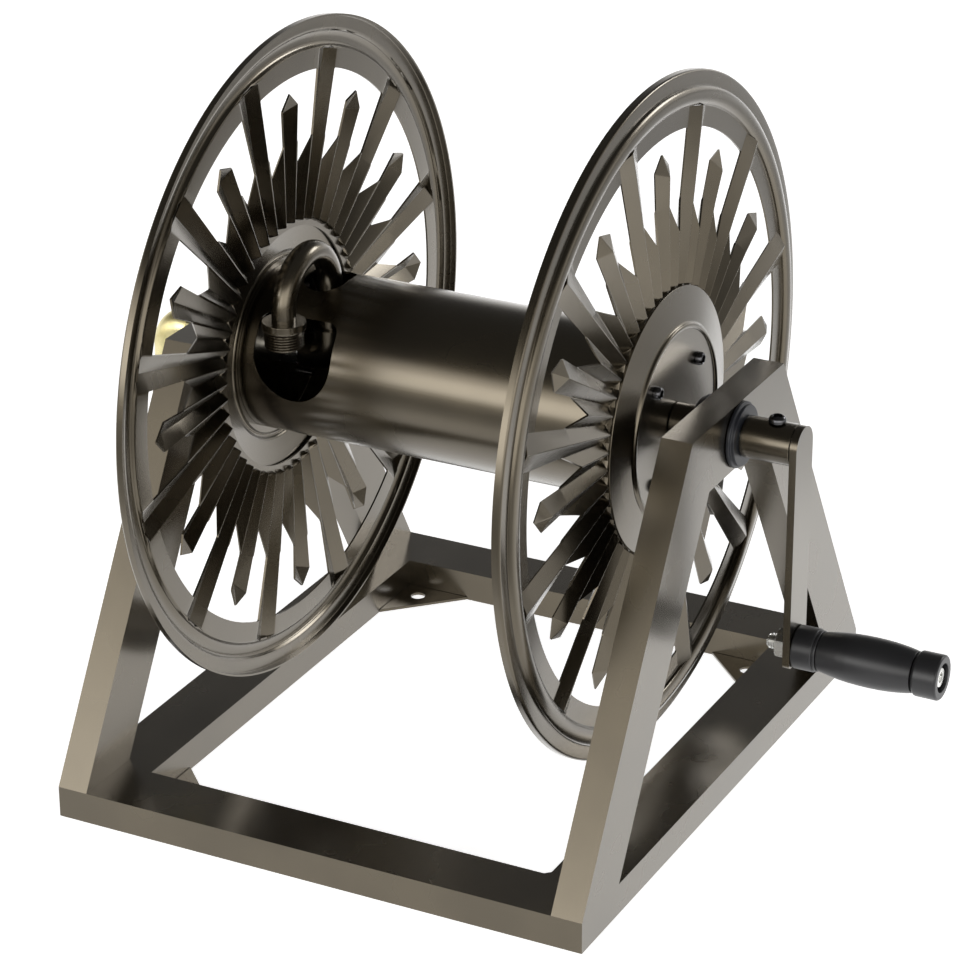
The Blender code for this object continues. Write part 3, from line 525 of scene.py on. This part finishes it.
def welded_stand():
    """The stand's tubes as one welded body with its outer edges rounded, then parted again.

    Parting it after the rounding lets each tube meet the next one flush, without a seam.
    """
    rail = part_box("base_front_rail")
    low = Vector((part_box("base_left_rail")[0].x, rail[0].y, 0))
    high = Vector((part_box("base_right_rail")[1].x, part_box("base_rear_rail")[1].y, rail[1].z))
    rail_width = rail[1].y - rail[0].y
    middle = (low.x + high.x) / 2
    half = Vector(((high.x - low.x) / 2, (high.y - low.y) / 2))
    inner = half - Vector((rail_width, rail_width))
    height = high.z

    def rectangle(size):
        return [(-size.x, -size.y), (size.x, -size.y), (size.x, size.y), (-size.x, size.y)]

    stand = plate("welded_stand", [rectangle(half), rectangle(inner)], height,
                  Matrix.Translation((middle, 0, height / 2)))
    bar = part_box("right_top_bar")
    apex = bar[1].y
    top = bar[1].z
    underside = bar[0].z
    thickness = bar[1].x - bar[0].x
    slope = (half.y - apex) / (top - height)
    across = LEG_WIDTH * math.hypot(1, slope)

    def outer_y(z):
        return half.y - slope * (z - height)

    sunk = height - 6 * MM
    outline = [(-half.y, sunk), (half.y, sunk), (half.y, height), (apex, top), (-apex, top),
               (-half.y, height)]
    hole = [(outer_y(height) - across, sunk + 4 * MM), (outer_y(height) - across, height),
            (outer_y(underside) - across, underside), (across - outer_y(underside), underside),
            (across - outer_y(height), height), (across - outer_y(height), sunk + 4 * MM)]
    for side in (-1, 1):
        side_middle = middle + side * (half.x - thickness / 2)
        frame_side = plate("side", [outline, hole], thickness,
                           Matrix.Translation((side_middle, 0, 0)) @ UPRIGHT_YZ)
        stand = joined(stand, frame_side, "UNION")
    work = bmesh.new()
    work.from_mesh(stand.data)
    bmesh.ops.remove_doubles(work, verts=work.verts, dist=1e-6)
    bmesh.ops.dissolve_limit(work, angle_limit=math.radians(1), verts=work.verts, edges=work.edges)
    ridges = [edge for edge in work.edges
              if edge.is_manifold and edge.is_convex and edge.calc_face_angle() > math.radians(40)]
    bmesh.ops.bevel(work, geom=ridges, offset=TUBE_EDGE, segments=3, profile=0.5,
                    affect="EDGES", clamp_overlap=True)
    bpy.data.objects.remove(stand, do_unlink=True)

    seam = height + 0.05 * MM

    def mitre(x_side, y_side, keep_y):
        """The upright plane through a base corner; it keeps the front or rear rail's side."""
        point = (middle + x_side * half.x, y_side * half.y, 0)
        normal = Vector((-x_side, y_side, 0)) if keep_y else Vector((x_side, -y_side, 0))
        return point, normal

    below = ((0, 0, seam), Vector((0, 0, -1)))
    above = ((0, 0, seam), Vector((0, 0, 1)))
    for name, side in (("front", -1), ("rear", 1)):
        planes = [below, mitre(-1, side, True), mitre(1, side, True)]
        part(work, "base_" + name + "_rail", planes)
    for name, side in (("left", -1), ("right", 1)):
        planes = [below, mitre(side, -1, False), mitre(side, 1, False)]
        part(work, "base_" + name + "_rail", planes)
        this_side = ((middle, 0, 0), Vector((side, 0, 0)))
        inner_corner = outer_y(underside) - across
        run = Vector((apex - inner_corner, top - underside))
        for end_name, end in (("front", -1), ("rear", 1)):
            cut_line = ((0, end * apex, top), Vector((0, end * run.y, -run.x)))
            part(work, name + "_" + end_name + "_leg", [above, this_side, cut_line])
        lines = [((0, end * apex, top), Vector((0, -end * run.y, run.x))) for end in (-1, 1)]
        side_middle = middle + side * (half.x - thickness / 2)
        drill = turned("drill", tube_section(0, BUSHING_SEAT, -60 * MM, 60 * MM),
                       Vector((side_middle, 0, AXLE.z)), closed=False)
        part(work, name + "_top_bar", [above, this_side] + lines, drill)
    work.free()


def part(whole, node_name, planes, drill=None):
    """The share of a welded mesh on the near side of each plane, capped where it is cut."""
    share = whole.copy()
    for point, normal in planes:
        everything = share.verts[:] + share.edges[:] + share.faces[:]
        cut = bmesh.ops.bisect_plane(share, geom=everything, dist=1e-7, plane_co=point,
                                     plane_no=normal, clear_inner=True)
        rim = [item for item in cut["geom_cut"] if isinstance(item, bmesh.types.BMEdge)]
        bmesh.ops.holes_fill(share, edges=rim, sides=0)
    piece = shape_from(node_name + "_tube", share)
    if drill:
        piece = joined(piece, drill, "DIFFERENCE")
    finished(piece, BRONZE, "stand", node_name, sharp=30)


def corner_gussets():
    """Drilled corner plates with a softened cut edge."""
    for end_name, end in (("front", -1), ("rear", 1)):
        for side_name, side in (("left", -1), ("right", 1)):
            name = "gusset_" + end_name + "_" + side_name
            low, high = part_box(name)
            corner = Vector((high.x if side > 0 else low.x, high.y if end > 0 else low.y))
            leg = high.x - low.x
            outline = [(corner.x, corner.y), (corner.x - side * leg, corner.y),
                       (corner.x, corner.y - end * leg)]
            centre = (corner.x - side * GUSSET_HOLE_INSET, corner.y - end * GUSSET_HOLE_INSET)
            hole = arc(centre, GUSSET_HOLE, 0, 355, 71)
            matrix = Matrix.Translation((0, 0, (low.z + high.z) / 2))
            flat = bevelled(plate(name + "_plate", [outline, hole], high.z - low.z, matrix),
                            0.4 * MM, 2)
            finished(flat, BRONZE, "stand", name)


def bushings():
    """Flanged nylon halves with a stepped rim."""
    for side_name, side in (("left", -1), ("right", 1)):
        for half_name in ("outer", "inner"):
            name = side_name + "_bushing_" + half_name
            low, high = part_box(name)
            away = side if half_name == "outer" else -side
            tip = high.x if away > 0 else low.x
            root = low.x if away > 0 else high.x
            face = tip - away * 5.8 * MM
            lip = BUSHING_RADIUS - 2.0 * MM
            profile = [(SLIDING_BORE, root), (BUSHING_BARREL, root), (BUSHING_BARREL, face),
                       (BUSHING_RADIUS, face), (BUSHING_RADIUS, face + away * 2.6 * MM),
                       (lip, face + away * 3.2 * MM), (lip, tip), (SLIDING_BORE, tip)]
            half = turned(name + "_moulding", profile, Vector((0, 0, AXLE.z)), rounding=0.7 * MM)
            finished(half, BUSHING, "stand", name)


# ---------------------------------------------------------------- reel


def bend_point(radius, degrees, out):
    turn = math.radians(degrees)
    return Vector((out * MM, radius * MM * math.cos(turn), radius * MM * math.sin(turn)))


def ray_faces():
    """Half a medium ray, a short pleat, the long ray, a short pleat and half a medium ray."""
    faces = []

    def add(side, *corners):
        face = [bend_point(point[0], degrees, point[1]) for degrees, point in corners]
        faces.append(face if side > 0 else face[::-1])

    middle = SECTOR / 2
    for side in (-1, 1):
        valley = side * PLEAT / 2
        edge = side * RAY_HALF_ANGLE
        add(side, (0, RIDGE_FOOT), (valley, VALLEY_FOOT), (edge, NOTCH_SIDE), (0, NOTCH_RIDGE))
        annulus_side = (ANNULUS_IN, RIM_FACE)
        add(side, (0, NOTCH_RIDGE), (edge, NOTCH_SIDE), (edge, annulus_side), (0, ANNULUS_RIDGE))
        add(side, (0, ANNULUS_RIDGE), (edge, annulus_side), (edge, (BEAD_IN, RIM_FACE)),
            (0, LONG_RIDGE))
        short = side * PLEAT
        far_valley = side * PLEAT * 1.5
        far_edge = side * (middle - RAY_HALF_ANGLE)
        ray = side * middle
        add(side, (valley, VALLEY_FOOT), (short, RIDGE_FOOT), (short, NOTCH_TOP),
            (edge, NOTCH_SIDE))
        add(side, (short, RIDGE_FOOT), (far_valley, VALLEY_FOOT), (far_edge, NOTCH_SIDE),
            (short, NOTCH_TOP))
        add(side, (far_valley, VALLEY_FOOT), (ray, RIDGE_FOOT), (ray, NOTCH_RIDGE),
            (far_edge, NOTCH_SIDE))
        add(side, (far_edge, NOTCH_SIDE), (ray, NOTCH_RIDGE), (ray, MEDIUM_RIDGE),
            (far_edge, MEDIUM_SIDE))
        add(side, (far_edge, MEDIUM_SIDE), (ray, MEDIUM_RIDGE), (ray, MEDIUM_TIP))
        for fold, dip in ((0, valley), (short, valley), (short, far_valley), (ray, far_valley)):
            way = side if abs(dip) > abs(fold) else -side
            add(way, (fold, RIDGE_FOOT), (fold, RIDGE_TUCK), (dip, VALLEY_FOOT))
            add(way, (fold, RIDGE_TUCK), (dip, VALLEY_TUCK), (dip, VALLEY_FOOT))
            add(way, (fold, TUCK_END), (dip, TUCK_END), (dip, VALLEY_TUCK), (fold, RIDGE_TUCK))
    add(1, (0, LONG_RIDGE), (RAY_HALF_ANGLE, (BEAD_IN, RIM_FACE)),
        (-RAY_HALF_ANGLE, (BEAD_IN, RIM_FACE)))
    return faces


def rim_rings():
    """Radius and distance out of each ring from the bead's foot to the end of the lip."""
    bead_middle = (BEAD_IN + BEAD_OUT) / 2
    bead_half = (BEAD_OUT - BEAD_IN) / 2
    rings = [(BEAD_IN, RIM_FACE)]
    for i in range(1, BEAD_STEPS):
        turn = math.pi * i / BEAD_STEPS
        rings.append((bead_middle - bead_half * math.cos(turn),
                      RIM_FACE + BEAD_HEIGHT * math.sin(turn) ** 0.85))
    rings += [(BEAD_OUT, RIM_FACE), (BEAD_OUT + 0.8, RIM_FACE + 0.25), (257.0, RIM_FACE + 0.25)]
    for i in range(7):
        turn = math.pi / 2 * i / 6
        rings.append((RIM_RADIUS - RIM_ROUNDING * (1 - math.sin(turn)),
                      RIM_FACE - RIM_ROUNDING * (1 - math.cos(turn))))
    rings += [(RIM_RADIUS, LIP_END + 1.6), (RIM_RADIUS, LIP_END)]
    return rings


def pressed_sector():
    """One twelfth of a flange's outer skin, its long ray in the middle."""
    work = bmesh.new()

    def skin(corners):
        work.faces.new([work.verts.new(corner) for corner in corners])

    for face in ray_faces():
        skin(face)
    half = SECTOR / 2
    outside = [-half + (half - RAY_HALF_ANGLE) * i / 6 for i in range(7)]
    stops = outside + [-RAY_HALF_ANGLE / 3, RAY_HALF_ANGLE / 3] + [-stop for stop in outside[::-1]]
    rings = rim_rings()
    for a, b in zip(stops, stops[1:]):
        for near, far in zip(rings, rings[1:]):
            skin([bend_point(near[0], a, near[1]), bend_point(far[0], a, far[1]),
                  bend_point(far[0], b, far[1]), bend_point(near[0], b, near[1])])
        if abs(a + b) < 2 * RAY_HALF_ANGLE:
            continue
        skin([bend_point(ANNULUS_IN, a, RIM_FACE), bend_point(BEAD_IN, a, RIM_FACE),
              bend_point(BEAD_IN, b, RIM_FACE), bend_point(ANNULUS_IN, b, RIM_FACE)])
    bmesh.ops.remove_doubles(work, verts=work.verts, dist=2e-6)
    return shape_from("pressed_sector", work)


def pressed_flange(side_name, side):
    """A sunburst of pleats in a rolled rim, pressed from one sheet."""
    skin = copied_about_axle(pressed_sector(), RAYS, math.radians(SECTOR / 2), BRONZE, 5e-6)
    work = bmesh.new()
    work.from_mesh(skin.data)
    bmesh.ops.translate(work, verts=work.verts, vec=(MIDDLE - AXLE.x, 0, 0))
    bmesh.ops.recalc_face_normals(work, faces=work.faces)
    if sum(face.normal.x * face.calc_area() for face in work.faces) < 0:
        bmesh.ops.reverse_faces(work, faces=work.faces)
    if side < 0:
        for vert in work.verts:
            vert.co.x = 2 * MIDDLE - vert.co.x
        bmesh.ops.reverse_faces(work, faces=work.faces)
    folds = [edge for edge in work.edges
             if edge.is_manifold and edge.calc_face_angle() > math.radians(18)
             and (edge.verts[0].co - edge.verts[1].co).length > 6 * MM]
    bmesh.ops.bevel(work, geom=folds, offset=0.7 * MM, segments=2, profile=0.5,
                    affect="EDGES", clamp_overlap=True)
    bpy.data.objects.remove(skin, do_unlink=True)
    flange = shape_from(side_name + "_flange_pressing", work)
    wall = flange.modifiers.new("sheet", "SOLIDIFY")
    wall.thickness = SHEET
    wall.offset = -1
    wall.use_even_offset = False
    flange = bevelled(settled(flange), 0.4 * MM, 2, 60)
    finished(flange, BRONZE, "reel", side_name + "_flange", sharp=30)


def hub_parts(side_name, side):
    """The shallow cone, the drum's end plate inside its raised ring, and four screws."""
    centre = Vector((MIDDLE, 0, AXLE.z))
    skin = [(70.9, 169.6), (71.1, 171.6), (71.9, 172.6), (73.3, 172.9), (74.7, 172.4),
            (75.7, 171.0), (76.8, 170.3), (90.0, 167.7), (102.6, 165.1)]
    back = [(radius, out - 1.5) for radius, out in reversed(skin)]
    profile = [(r * MM, side * out * MM) for r, out in skin + back]
    cone = turned(side_name + "_hub_cone_pressing", profile, centre, steps=144, rounding=0.4 * MM)
    finished(cone, BRONZE, "reel", side_name + "_hub_cone")
    low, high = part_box(side_name + "_hub_plate")
    face = (high.x if side > 0 else low.x) - MIDDLE
    back_face = (low.x if side > 0 else high.x) - MIDDLE
    disc = turned(side_name + "_hub_plate_disc",
                  tube_section(SLIDING_BORE, HUB_PLATE_RADIUS, back_face, face), centre, steps=144,
                  rounding=0.5 * MM)
    finished(disc, BRONZE, "reel", side_name + "_hub_plate")
    seat = abs(face) + 0.3 * MM
    head = [(0, 2.0), (2.9, 2.0), (2.9, 4.6), (3.2, 4.9), (3.8, 4.8), (4.6, 4.1), (5.1, 2.8),
            (5.2, 1.0), (5.2, 0), (2.5, 0), (2.5, -9), (0, -9)]
    profile = [(r * MM, side * (seat + d * MM)) for r, d in head]
    screw = turned("button_screw", profile, Vector((MIDDLE - AXLE.x, 0, HUB_SCREW_CIRCLE)),
                   steps=36, closed=False)
    names = [side_name + "_hub_screw_" + str(i) for i in range(1, 5)]
    screws = copied_about_axle(screw, 4, math.radians(45), SCREW_BLACK)
    screws.name = side_name + "_hub_screws"
    finished(tidy_mesh(screws), SCREW_BLACK, "reel", *names, sharp=40)


def drum():
    """Rolled drum shell with rounded windows for the gooseneck and the hose's end."""
    low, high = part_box("drum")
    outer = DRUM_RADIUS
    shell = turned("drum_shell", tube_section(outer - DRUM_WALL, outer, low.x, high.x),
                   Vector((0, 0, AXLE.z)), steps=160)
    neck_x = neck_plane()
    half_width = 17.3 * MM
    straight = 6.2 * MM
    slot = arc((0, straight), half_width, 0, 180, 24)
    slot += arc((0, -straight), half_width, 180, 360, 24)
    spot = Matrix.Translation((neck_x, 0, AXLE.z + outer))
    shell = joined(shell, plate("slot", [slot], outer, spot), "DIFFERENCE")
    radius = 33.6 * MM
    top = 31.8 * MM
    corner = 9.0 * MM
    tail = arc((0, 0), radius, 180, 360, 48)
    tail += arc((radius - corner, top - corner), corner, 0, 90, 10)
    tail += arc((corner - radius, top - corner), corner, 90, 180, 10)
    tilt = Matrix.Rotation(math.radians(-17), 4, "X")
    face_front = Matrix.Rotation(math.radians(90), 4, "X")
    spot = Matrix.Translation((neck_x, 0, AXLE.z)) @ tilt
    spot = spot @ Matrix.Translation((0, -outer, 0)) @ face_front
    shell = joined(shell, plate("window", [tail], outer, spot), "DIFFERENCE")
    finished(bevelled(tidy_mesh(shell), 0.6 * MM, 2, 50), BRONZE, "reel", "drum", sharp=30)


def neck_plane():
    low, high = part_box("gooseneck_pipe")
    return (low.x + high.x) / 2


def axle_parts():
    centre = Vector((0, 0, AXLE.z))
    for side_name in ("left", "right"):
        low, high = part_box(side_name + "_axle_sleeve")
        sleeve = turned(side_name + "_spacer",
                        tube_section(SLIDING_BORE, SLEEVE_RADIUS, low.x, high.x), centre,
                        rounding=0.8 * MM)
        finished(sleeve, BRONZE, "reel", side_name + "_axle_sleeve")
    low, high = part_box("left_axle_pipe")
    tube = turned("hollow_axle", tube_section(AXLE_BORE, AXLE_RADIUS, low.x, high.x), centre,
                  rounding=0.8 * MM)
    finished(tube, ZINC, "reel", "left_axle_pipe")
    low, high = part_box("right_axle_shaft")
    shaft = turned("solid_shaft", tube_section(0, AXLE_RADIUS, low.x, high.x), centre,
                   rounding=1.2 * MM, closed=False)
    finished(shaft, ZINC, "reel", "right_axle_shaft")


def water_way():
    """Elbow in the drum, gooseneck over its edge, collar and threaded outlet."""
    x = neck_plane()
    low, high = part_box("drum_elbow")
    bend = 15.0 * MM
    route = [(low.x, 0, AXLE.z)]
    route += [(x - bend + bend * math.sin(t), 0, AXLE.z + bend - bend * math.cos(t))
              for t in [math.pi / 2 * i / 16 for i in range(17)]]
    route.append((x, 0, high.z))
    elbow = pipe("drum_elbow_casting", route, 14.0 * MM, 4.5 * MM)
    finished(elbow, BRONZE, "reel", "drum_elbow")
    low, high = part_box("gooseneck_pipe")
    radius = 9.5 * MM
    arch = (high.y - low.y - 2 * radius) / 2
    middle_y = (high.y + low.y) / 2
    arch_z = high.z - radius - arch
    route = [(x, middle_y + arch, low.z)]
    route += [(x, middle_y + arch * math.cos(t), arch_z + arch * math.sin(t))
              for t in [math.pi * i / 48 for i in range(49)]]
    route.append((x, middle_y - arch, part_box("outlet_collar")[1].z + 0.05 * MM))
    finished(pipe("gooseneck", route, radius, 1.5 * MM), BRONZE, "reel", "gooseneck_pipe")
    low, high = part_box("outlet_collar")
    centre = Vector((x, middle_y - arch, 0))
    profile = [(8.2 * MM, low.z), (16.6 * MM, low.z), (17.1 * MM, low.z + 1.4 * MM),
               (17.1 * MM, high.z), (8.2 * MM, high.z)]
    collar = turned("hose_collar", profile, centre, "Z", rounding=0.6 * MM)
    finished(collar, BRONZE, "reel", "outlet_collar")
    low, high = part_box("threaded_outlet")
    length = high.z - low.z
    bore = 9.5 * MM
    spout = threaded("hose_thread", 15.3 * MM, 13.9 * MM, HOSE_THREAD_PITCH, high.z, length, centre,
                     [(bore, 0)], [(bore + 0.6 * MM, length), (bore, length - 0.6 * MM)])
    finished(spout, BRONZE, "reel", "threaded_outlet", sharp=50)


# ---------------------------------------------------------------- crank and handle


def crank():
    """Sleeve on the shaft, the screw that holds it, and the flat arm that carries the handle."""
    centre = Vector((0, 0, AXLE.z))
    low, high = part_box("crank_sleeve")
    sleeve = turned("crank_tube", tube_section(SLIDING_BORE, SLEEVE_RADIUS, low.x, high.x), centre,
                    rounding=0.7 * MM)
    finished(sleeve, BRONZE, "reel", "crank_sleeve")

    low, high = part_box("crank_screw")
    spot = Vector(((low.x + high.x) / 2, 0, AXLE.z))
    head = [(0, 18.0), (3.6, 18.0), (3.6, 20.7), (4.0, 21.0), (4.8, 20.8), (5.9, 20.0), (6.6, 18.6),
            (6.7, 17.0), (6.7, 16.3), (3.1, 16.3), (3.1, 3.0), (0, 3.0)]
    screw = turned("crank_button_screw", [(r * MM, z * MM) for r, z in head], spot, "Z", 48,
                   closed=False)
    finished(screw, SCREW_BLACK, "reel", "crank_screw", sharp=40)

    low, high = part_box("crank_arm")
    width = (high.y - low.y) / 2
    foot = low.z
    corner = 4.0 * MM
    outline = arc((0, AXLE.z), width, 0, 180, 48)
    outline += arc((corner - width, foot + corner), corner, 180, 270, 8)
    outline += arc((width - corner, foot + corner), corner, 270, 360, 8)
    hole = arc((0, GRIP_LINE.z), BOLT_HOLE, 0, 350, 35)
    arm = plate("crank_arm_bar", [outline, hole], high.x - low.x,
                Matrix.Translation(((low.x + high.x) / 2, 0, 0)) @ UPRIGHT_YZ)
    finished(bevelled(arm, 0.9 * MM, 3), BRONZE, "reel", "crank_arm")


def handle():
    """Collar, swelling grip, end cap, and the nut and socket-head bolt that hold them."""
    centre = Vector((MIDDLE, 0, GRIP_LINE.z))

    def round_piece(name, outline, rounding):
        return turned(name, [(r * MM, d * MM) for r, d in outline], centre, rounding=rounding)

    outline = [(6.3, 275.6), (16.4, 275.6), (16.8, 276.4), (16.8, 291.2), (16.3, 292.0),
               (15.3, 292.2), (15.3, 292.8), (15.9, 293.2), (15.9, 294.2), (15.5, 294.7),
               (6.3, 294.7)]
    collar = round_piece("handle_collar", outline, 0.2 * MM)
    finished(collar, GRIP_BLACK, "reel", "grip_collar")
    swell = [(15.0, 295.1), (15.6, 298.0), (16.8, 304.0), (18.0, 312.0), (18.8, 320.0),
             (19.2, 328.0), (19.35, 336.0), (19.2, 344.0), (18.8, 351.0), (18.2, 357.0),
             (17.4, 363.0), (16.6, 367.5), (16.0, 370.2)]
    grip = round_piece("handle_grip", [(6.5, 295.1)] + swell + [(6.5, 370.2)], 0.6 * MM)
    finished(grip, GRIP_BLACK, "grip", "grip")
    outline = [(6.5, 371.0), (15.4, 371.0), (17.4, 373.2), (17.5, 390.2), (16.4, 391.5),
               (11.2, 391.5), (11.2, 381.2), (6.5, 381.2)]
    cap = round_piece("handle_cap", outline, 0.7 * MM)
    finished(cap, GRIP_BLACK, "reel", "grip_end_cap")

    nut = hex_nut("hex_nut", "handle_nut", GRIP_LINE.z, 12.6 * MM, 11.2 * MM, BOLT_HOLE,
                  1.2 * MM, 35, 0.25 * MM)
    finished(nut, ZINC, "reel", "handle_nut", sharp=30)

    low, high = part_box("handle_bolt")
    length = high.x - low.x
    threads = 25 * MM
    head = length - 8 * MM
    head_radius = 8.2 * MM
    socket = length - 2.4 * MM
    bolt = threaded("handle_through_bolt", BOLT_RADIUS, 4.5 * MM, 2.1 * MM, 0, threads, (0, 0, 0),
                    [(0, 0), (4.2 * MM, 0)],
                    [(BOLT_RADIUS, threads + 1 * MM), (BOLT_RADIUS, head), (head_radius, head),
                     (head_radius, length - 1.0 * MM), (7.2 * MM, length), (4.0 * MM, length),
                     (3.6 * MM, socket), (0, socket)], 1.5 * MM)
    bolt.data.transform(Matrix.Translation((low.x, 0, GRIP_LINE.z))
                        @ Matrix.Rotation(math.radians(-90), 4, "Y"))
    finished(bolt, ZINC, "reel", "handle_bolt", sharp=40)


def inlet():
    """Brass swivel nut, seal, cast elbow and supply thread outside the left leg."""
    centre = Vector((0, 0, AXLE.z))
    nut = hex_nut("inlet_hex", "inlet_swivel_nut", AXLE.z, 21.5 * MM, 19.0 * MM, SLIDING_BORE,
                  2.0 * MM, 71, 0.5 * MM)
    finished(nut, BRASS, "inlet", "inlet_swivel_nut", sharp=30)
    low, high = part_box("inlet_seal")
    washer = turned("inlet_washer", tube_section(SLIDING_BORE, 15.4 * MM, low.x, high.x), centre,
                    rounding=0.4 * MM)
    finished(washer, SEAL, "inlet", "inlet_seal")
    low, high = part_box("inlet_elbow")
    radius = 15.8 * MM
    x = low.x + radius
    bend = 16.5 * MM
    route = [(high.x, 0, AXLE.z)]
    route += [(x + bend - bend * math.sin(t), 0, AXLE.z - bend + bend * math.cos(t))
              for t in [math.pi / 2 * i / 20 for i in range(21)]]
    route.append((x, 0, low.z))
    elbow = pipe("inlet_casting", route, radius, 2.6 * MM)
    finished(elbow, BRASS, "inlet", "inlet_elbow")
    low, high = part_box("inlet_thread")
    band = 5.0 * MM
    bore = 9.0 * MM
    length = high.z - band - low.z
    thread = threaded("supply_thread", 13.5 * MM, 12.1 * MM, HOSE_THREAD_PITCH, high.z - band,
                      length, Vector((x, 0, 0)),
                      [(bore, -band), (radius - 0.6 * MM, -band), (radius, 0.6 * MM - band),
                       (radius, -0.6 * MM), (radius - 0.6 * MM, 0)],
                      [(bore + 0.6 * MM, length), (bore, length - 0.6 * MM)])
    finished(thread, BRASS, "inlet", "inlet_thread", sharp=50)


welded_stand()
corner_gussets()
bushings()
for reel_side, way in (("left", -1), ("right", 1)):
    pressed_flange(reel_side, way)
    hub_parts(reel_side, way)
drum()
axle_parts()
water_way()
crank()
handle()
inlet()


# ---------------------------------------------------------------- studio


def glow_along_y(tree, across, stops):
    """Brightness along Y from (metres, level) stops, eased between them."""
    along = node(tree, "ShaderNodeMapRange", From_Min=-GLOW_REACH, From_Max=GLOW_REACH)
    tree.links.new(across, along.inputs["Value"])
    pool = tree.nodes.new("ShaderNodeValToRGB")
    pool.color_ramp.interpolation = "EASE"
    elements = pool.color_ramp.elements
    for i, (y, level) in enumerate(stops):
        spot = (y + GLOW_REACH) / (2 * GLOW_REACH)
        stop = elements[i] if i < 2 else elements.new(spot)
        stop.position = spot
        stop.color = (level, level, level, 1)
    tree.links.new(along.outputs["Result"], pool.inputs["Fac"])
    return pool.outputs["Color"]


def pale_paper():
    """Pale matt paper that glows as if lit from outside the scene."""
    material = bpy.data.materials.new("pale_paper")
    material.use_nodes = True
    tree = material.node_tree
    shader = tree.nodes["Principled BSDF"]
    shader.inputs["Base Color"].default_value = (0.8, 0.8, 0.8, 1)
    shader.inputs["Roughness"].default_value = 0.9
    shader.inputs["Emission Strength"].default_value = 1.0
    place = tree.nodes.new("ShaderNodeTexCoord")
    split = tree.nodes.new("ShaderNodeSeparateXYZ")
    tree.links.new(place.outputs["Object"], split.inputs[0])
    far_side = glow_along_y(tree, split.outputs["Y"], FAR_SIDE_GLOW)
    crank_side = glow_along_y(tree, split.outputs["Y"], CRANK_SIDE_GLOW)
    side = node(tree, "ShaderNodeMapRange", From_Min=GLOW_SEAM[0], From_Max=GLOW_SEAM[1])
    side.interpolation_type = "SMOOTHSTEP"
    tree.links.new(split.outputs["X"], side.inputs["Value"])
    blend = tree.nodes.new("ShaderNodeMix")
    blend.data_type = "RGBA"
    tree.links.new(side.outputs["Result"], blend.inputs[0])
    tree.links.new(far_side, blend.inputs[6])
    tree.links.new(crank_side, blend.inputs[7])
    tree.links.new(blend.outputs[2], shader.inputs["Emission Color"])
    return material


def floor():
    ground = bpy.data.meshes.new("floor")
    reach = 14.0
    ground.from_pydata([(-reach, -reach, 0), (reach, -reach, 0), (reach, reach, 0),
                        (-reach, reach, 0)], [], [(0, 1, 2, 3)])
    ground.materials.append(pale_paper())
    sheet = bpy.data.objects.new("floor", ground)
    bpy.context.scene.collection.objects.link(sheet)
    sheet.location.z = -0.2 * MM


def studio_world():
    """Bright low down all round and well up in front, dark overhead and behind."""
    world = bpy.data.worlds.new("studio")
    bpy.context.scene.world = world
    world.use_nodes = True
    tree = world.node_tree
    link = tree.links.new

    def with_front(front, amounts):
        behind, added = amounts
        made = tree.nodes.new("ShaderNodeMath")
        made.operation = "MULTIPLY_ADD"
        link(front, made.inputs[0])
        made.inputs[1].default_value = added
        made.inputs[2].default_value = behind
        return made.outputs[0]

    def smooth(value, start, end, low, high):
        made = tree.nodes.new("ShaderNodeMapRange")
        made.interpolation_type = "SMOOTHSTEP"
        for name, amount in (("Value", value), ("From Min", start), ("From Max", end),
                             ("To Min", low), ("To Max", high)):
            if isinstance(amount, (int, float)):
                made.inputs[name].default_value = amount
            else:
                link(amount, made.inputs[name])
        return made.outputs[0]

    place = tree.nodes.new("ShaderNodeTexCoord")
    split = tree.nodes.new("ShaderNodeSeparateXYZ")
    link(place.outputs["Generated"], split.inputs[0])
    front = smooth(split.outputs["Y"], *FRONT_SECTOR, 1.0, 0.0)
    start = with_front(front, BAND_START)
    end = with_front(front, BAND_END)
    level = with_front(front, BAND_LEVEL)
    strength = smooth(split.outputs["Z"], start, end, level, OVERHEAD_LEVEL)
    background = tree.nodes["Background"]
    link(strength, background.inputs["Strength"])
    background.inputs["Color"].default_value = (1.0, 0.985, 0.96, 1)


def lamp(name, place, aim, size, power):
    """A soft rectangular panel turned towards a point."""
    light = bpy.data.lights.new(name, "AREA")
    light.shape = "RECTANGLE"
    light.size = size[0]
    light.size_y = size[1]
    light.energy = power
    item = bpy.data.objects.new(name, light)
    bpy.context.scene.collection.objects.link(item)
    item.location = place
    item.rotation_euler = (Vector(aim) - Vector(place)).to_track_quat("-Z", "Y").to_euler()


def camera():
    view = bpy.data.cameras.new("camera")
    view.sensor_width = 36
    view.lens = CAMERA_LENS
    view.clip_end = 100
    item = bpy.data.objects.new("camera", view)
    bpy.context.scene.collection.objects.link(item)
    turn = (Matrix.Rotation(math.radians(CAMERA_ROUND), 4, "Z")
            @ Matrix.Rotation(math.radians(90 - CAMERA_DOWN), 4, "X")
            @ Matrix.Rotation(math.radians(CAMERA_ROLL), 4, "Z"))
    item.matrix_world = Matrix.Translation(CAMERA_PLACE) @ turn
    bpy.context.scene.camera = item


floor()
studio_world()
lamp("back_right_panel", (2.0, 3.5, 2.1), (0, 0, 0.25), (1.4, 1.0), 36)
lamp("front_panel", (-1.2, -3.0, 0.9), (0, 0, 0.25), (2.2, 1.0), 12)
camera()
bpy.context.scene.view_settings.view_transform = "Standard"
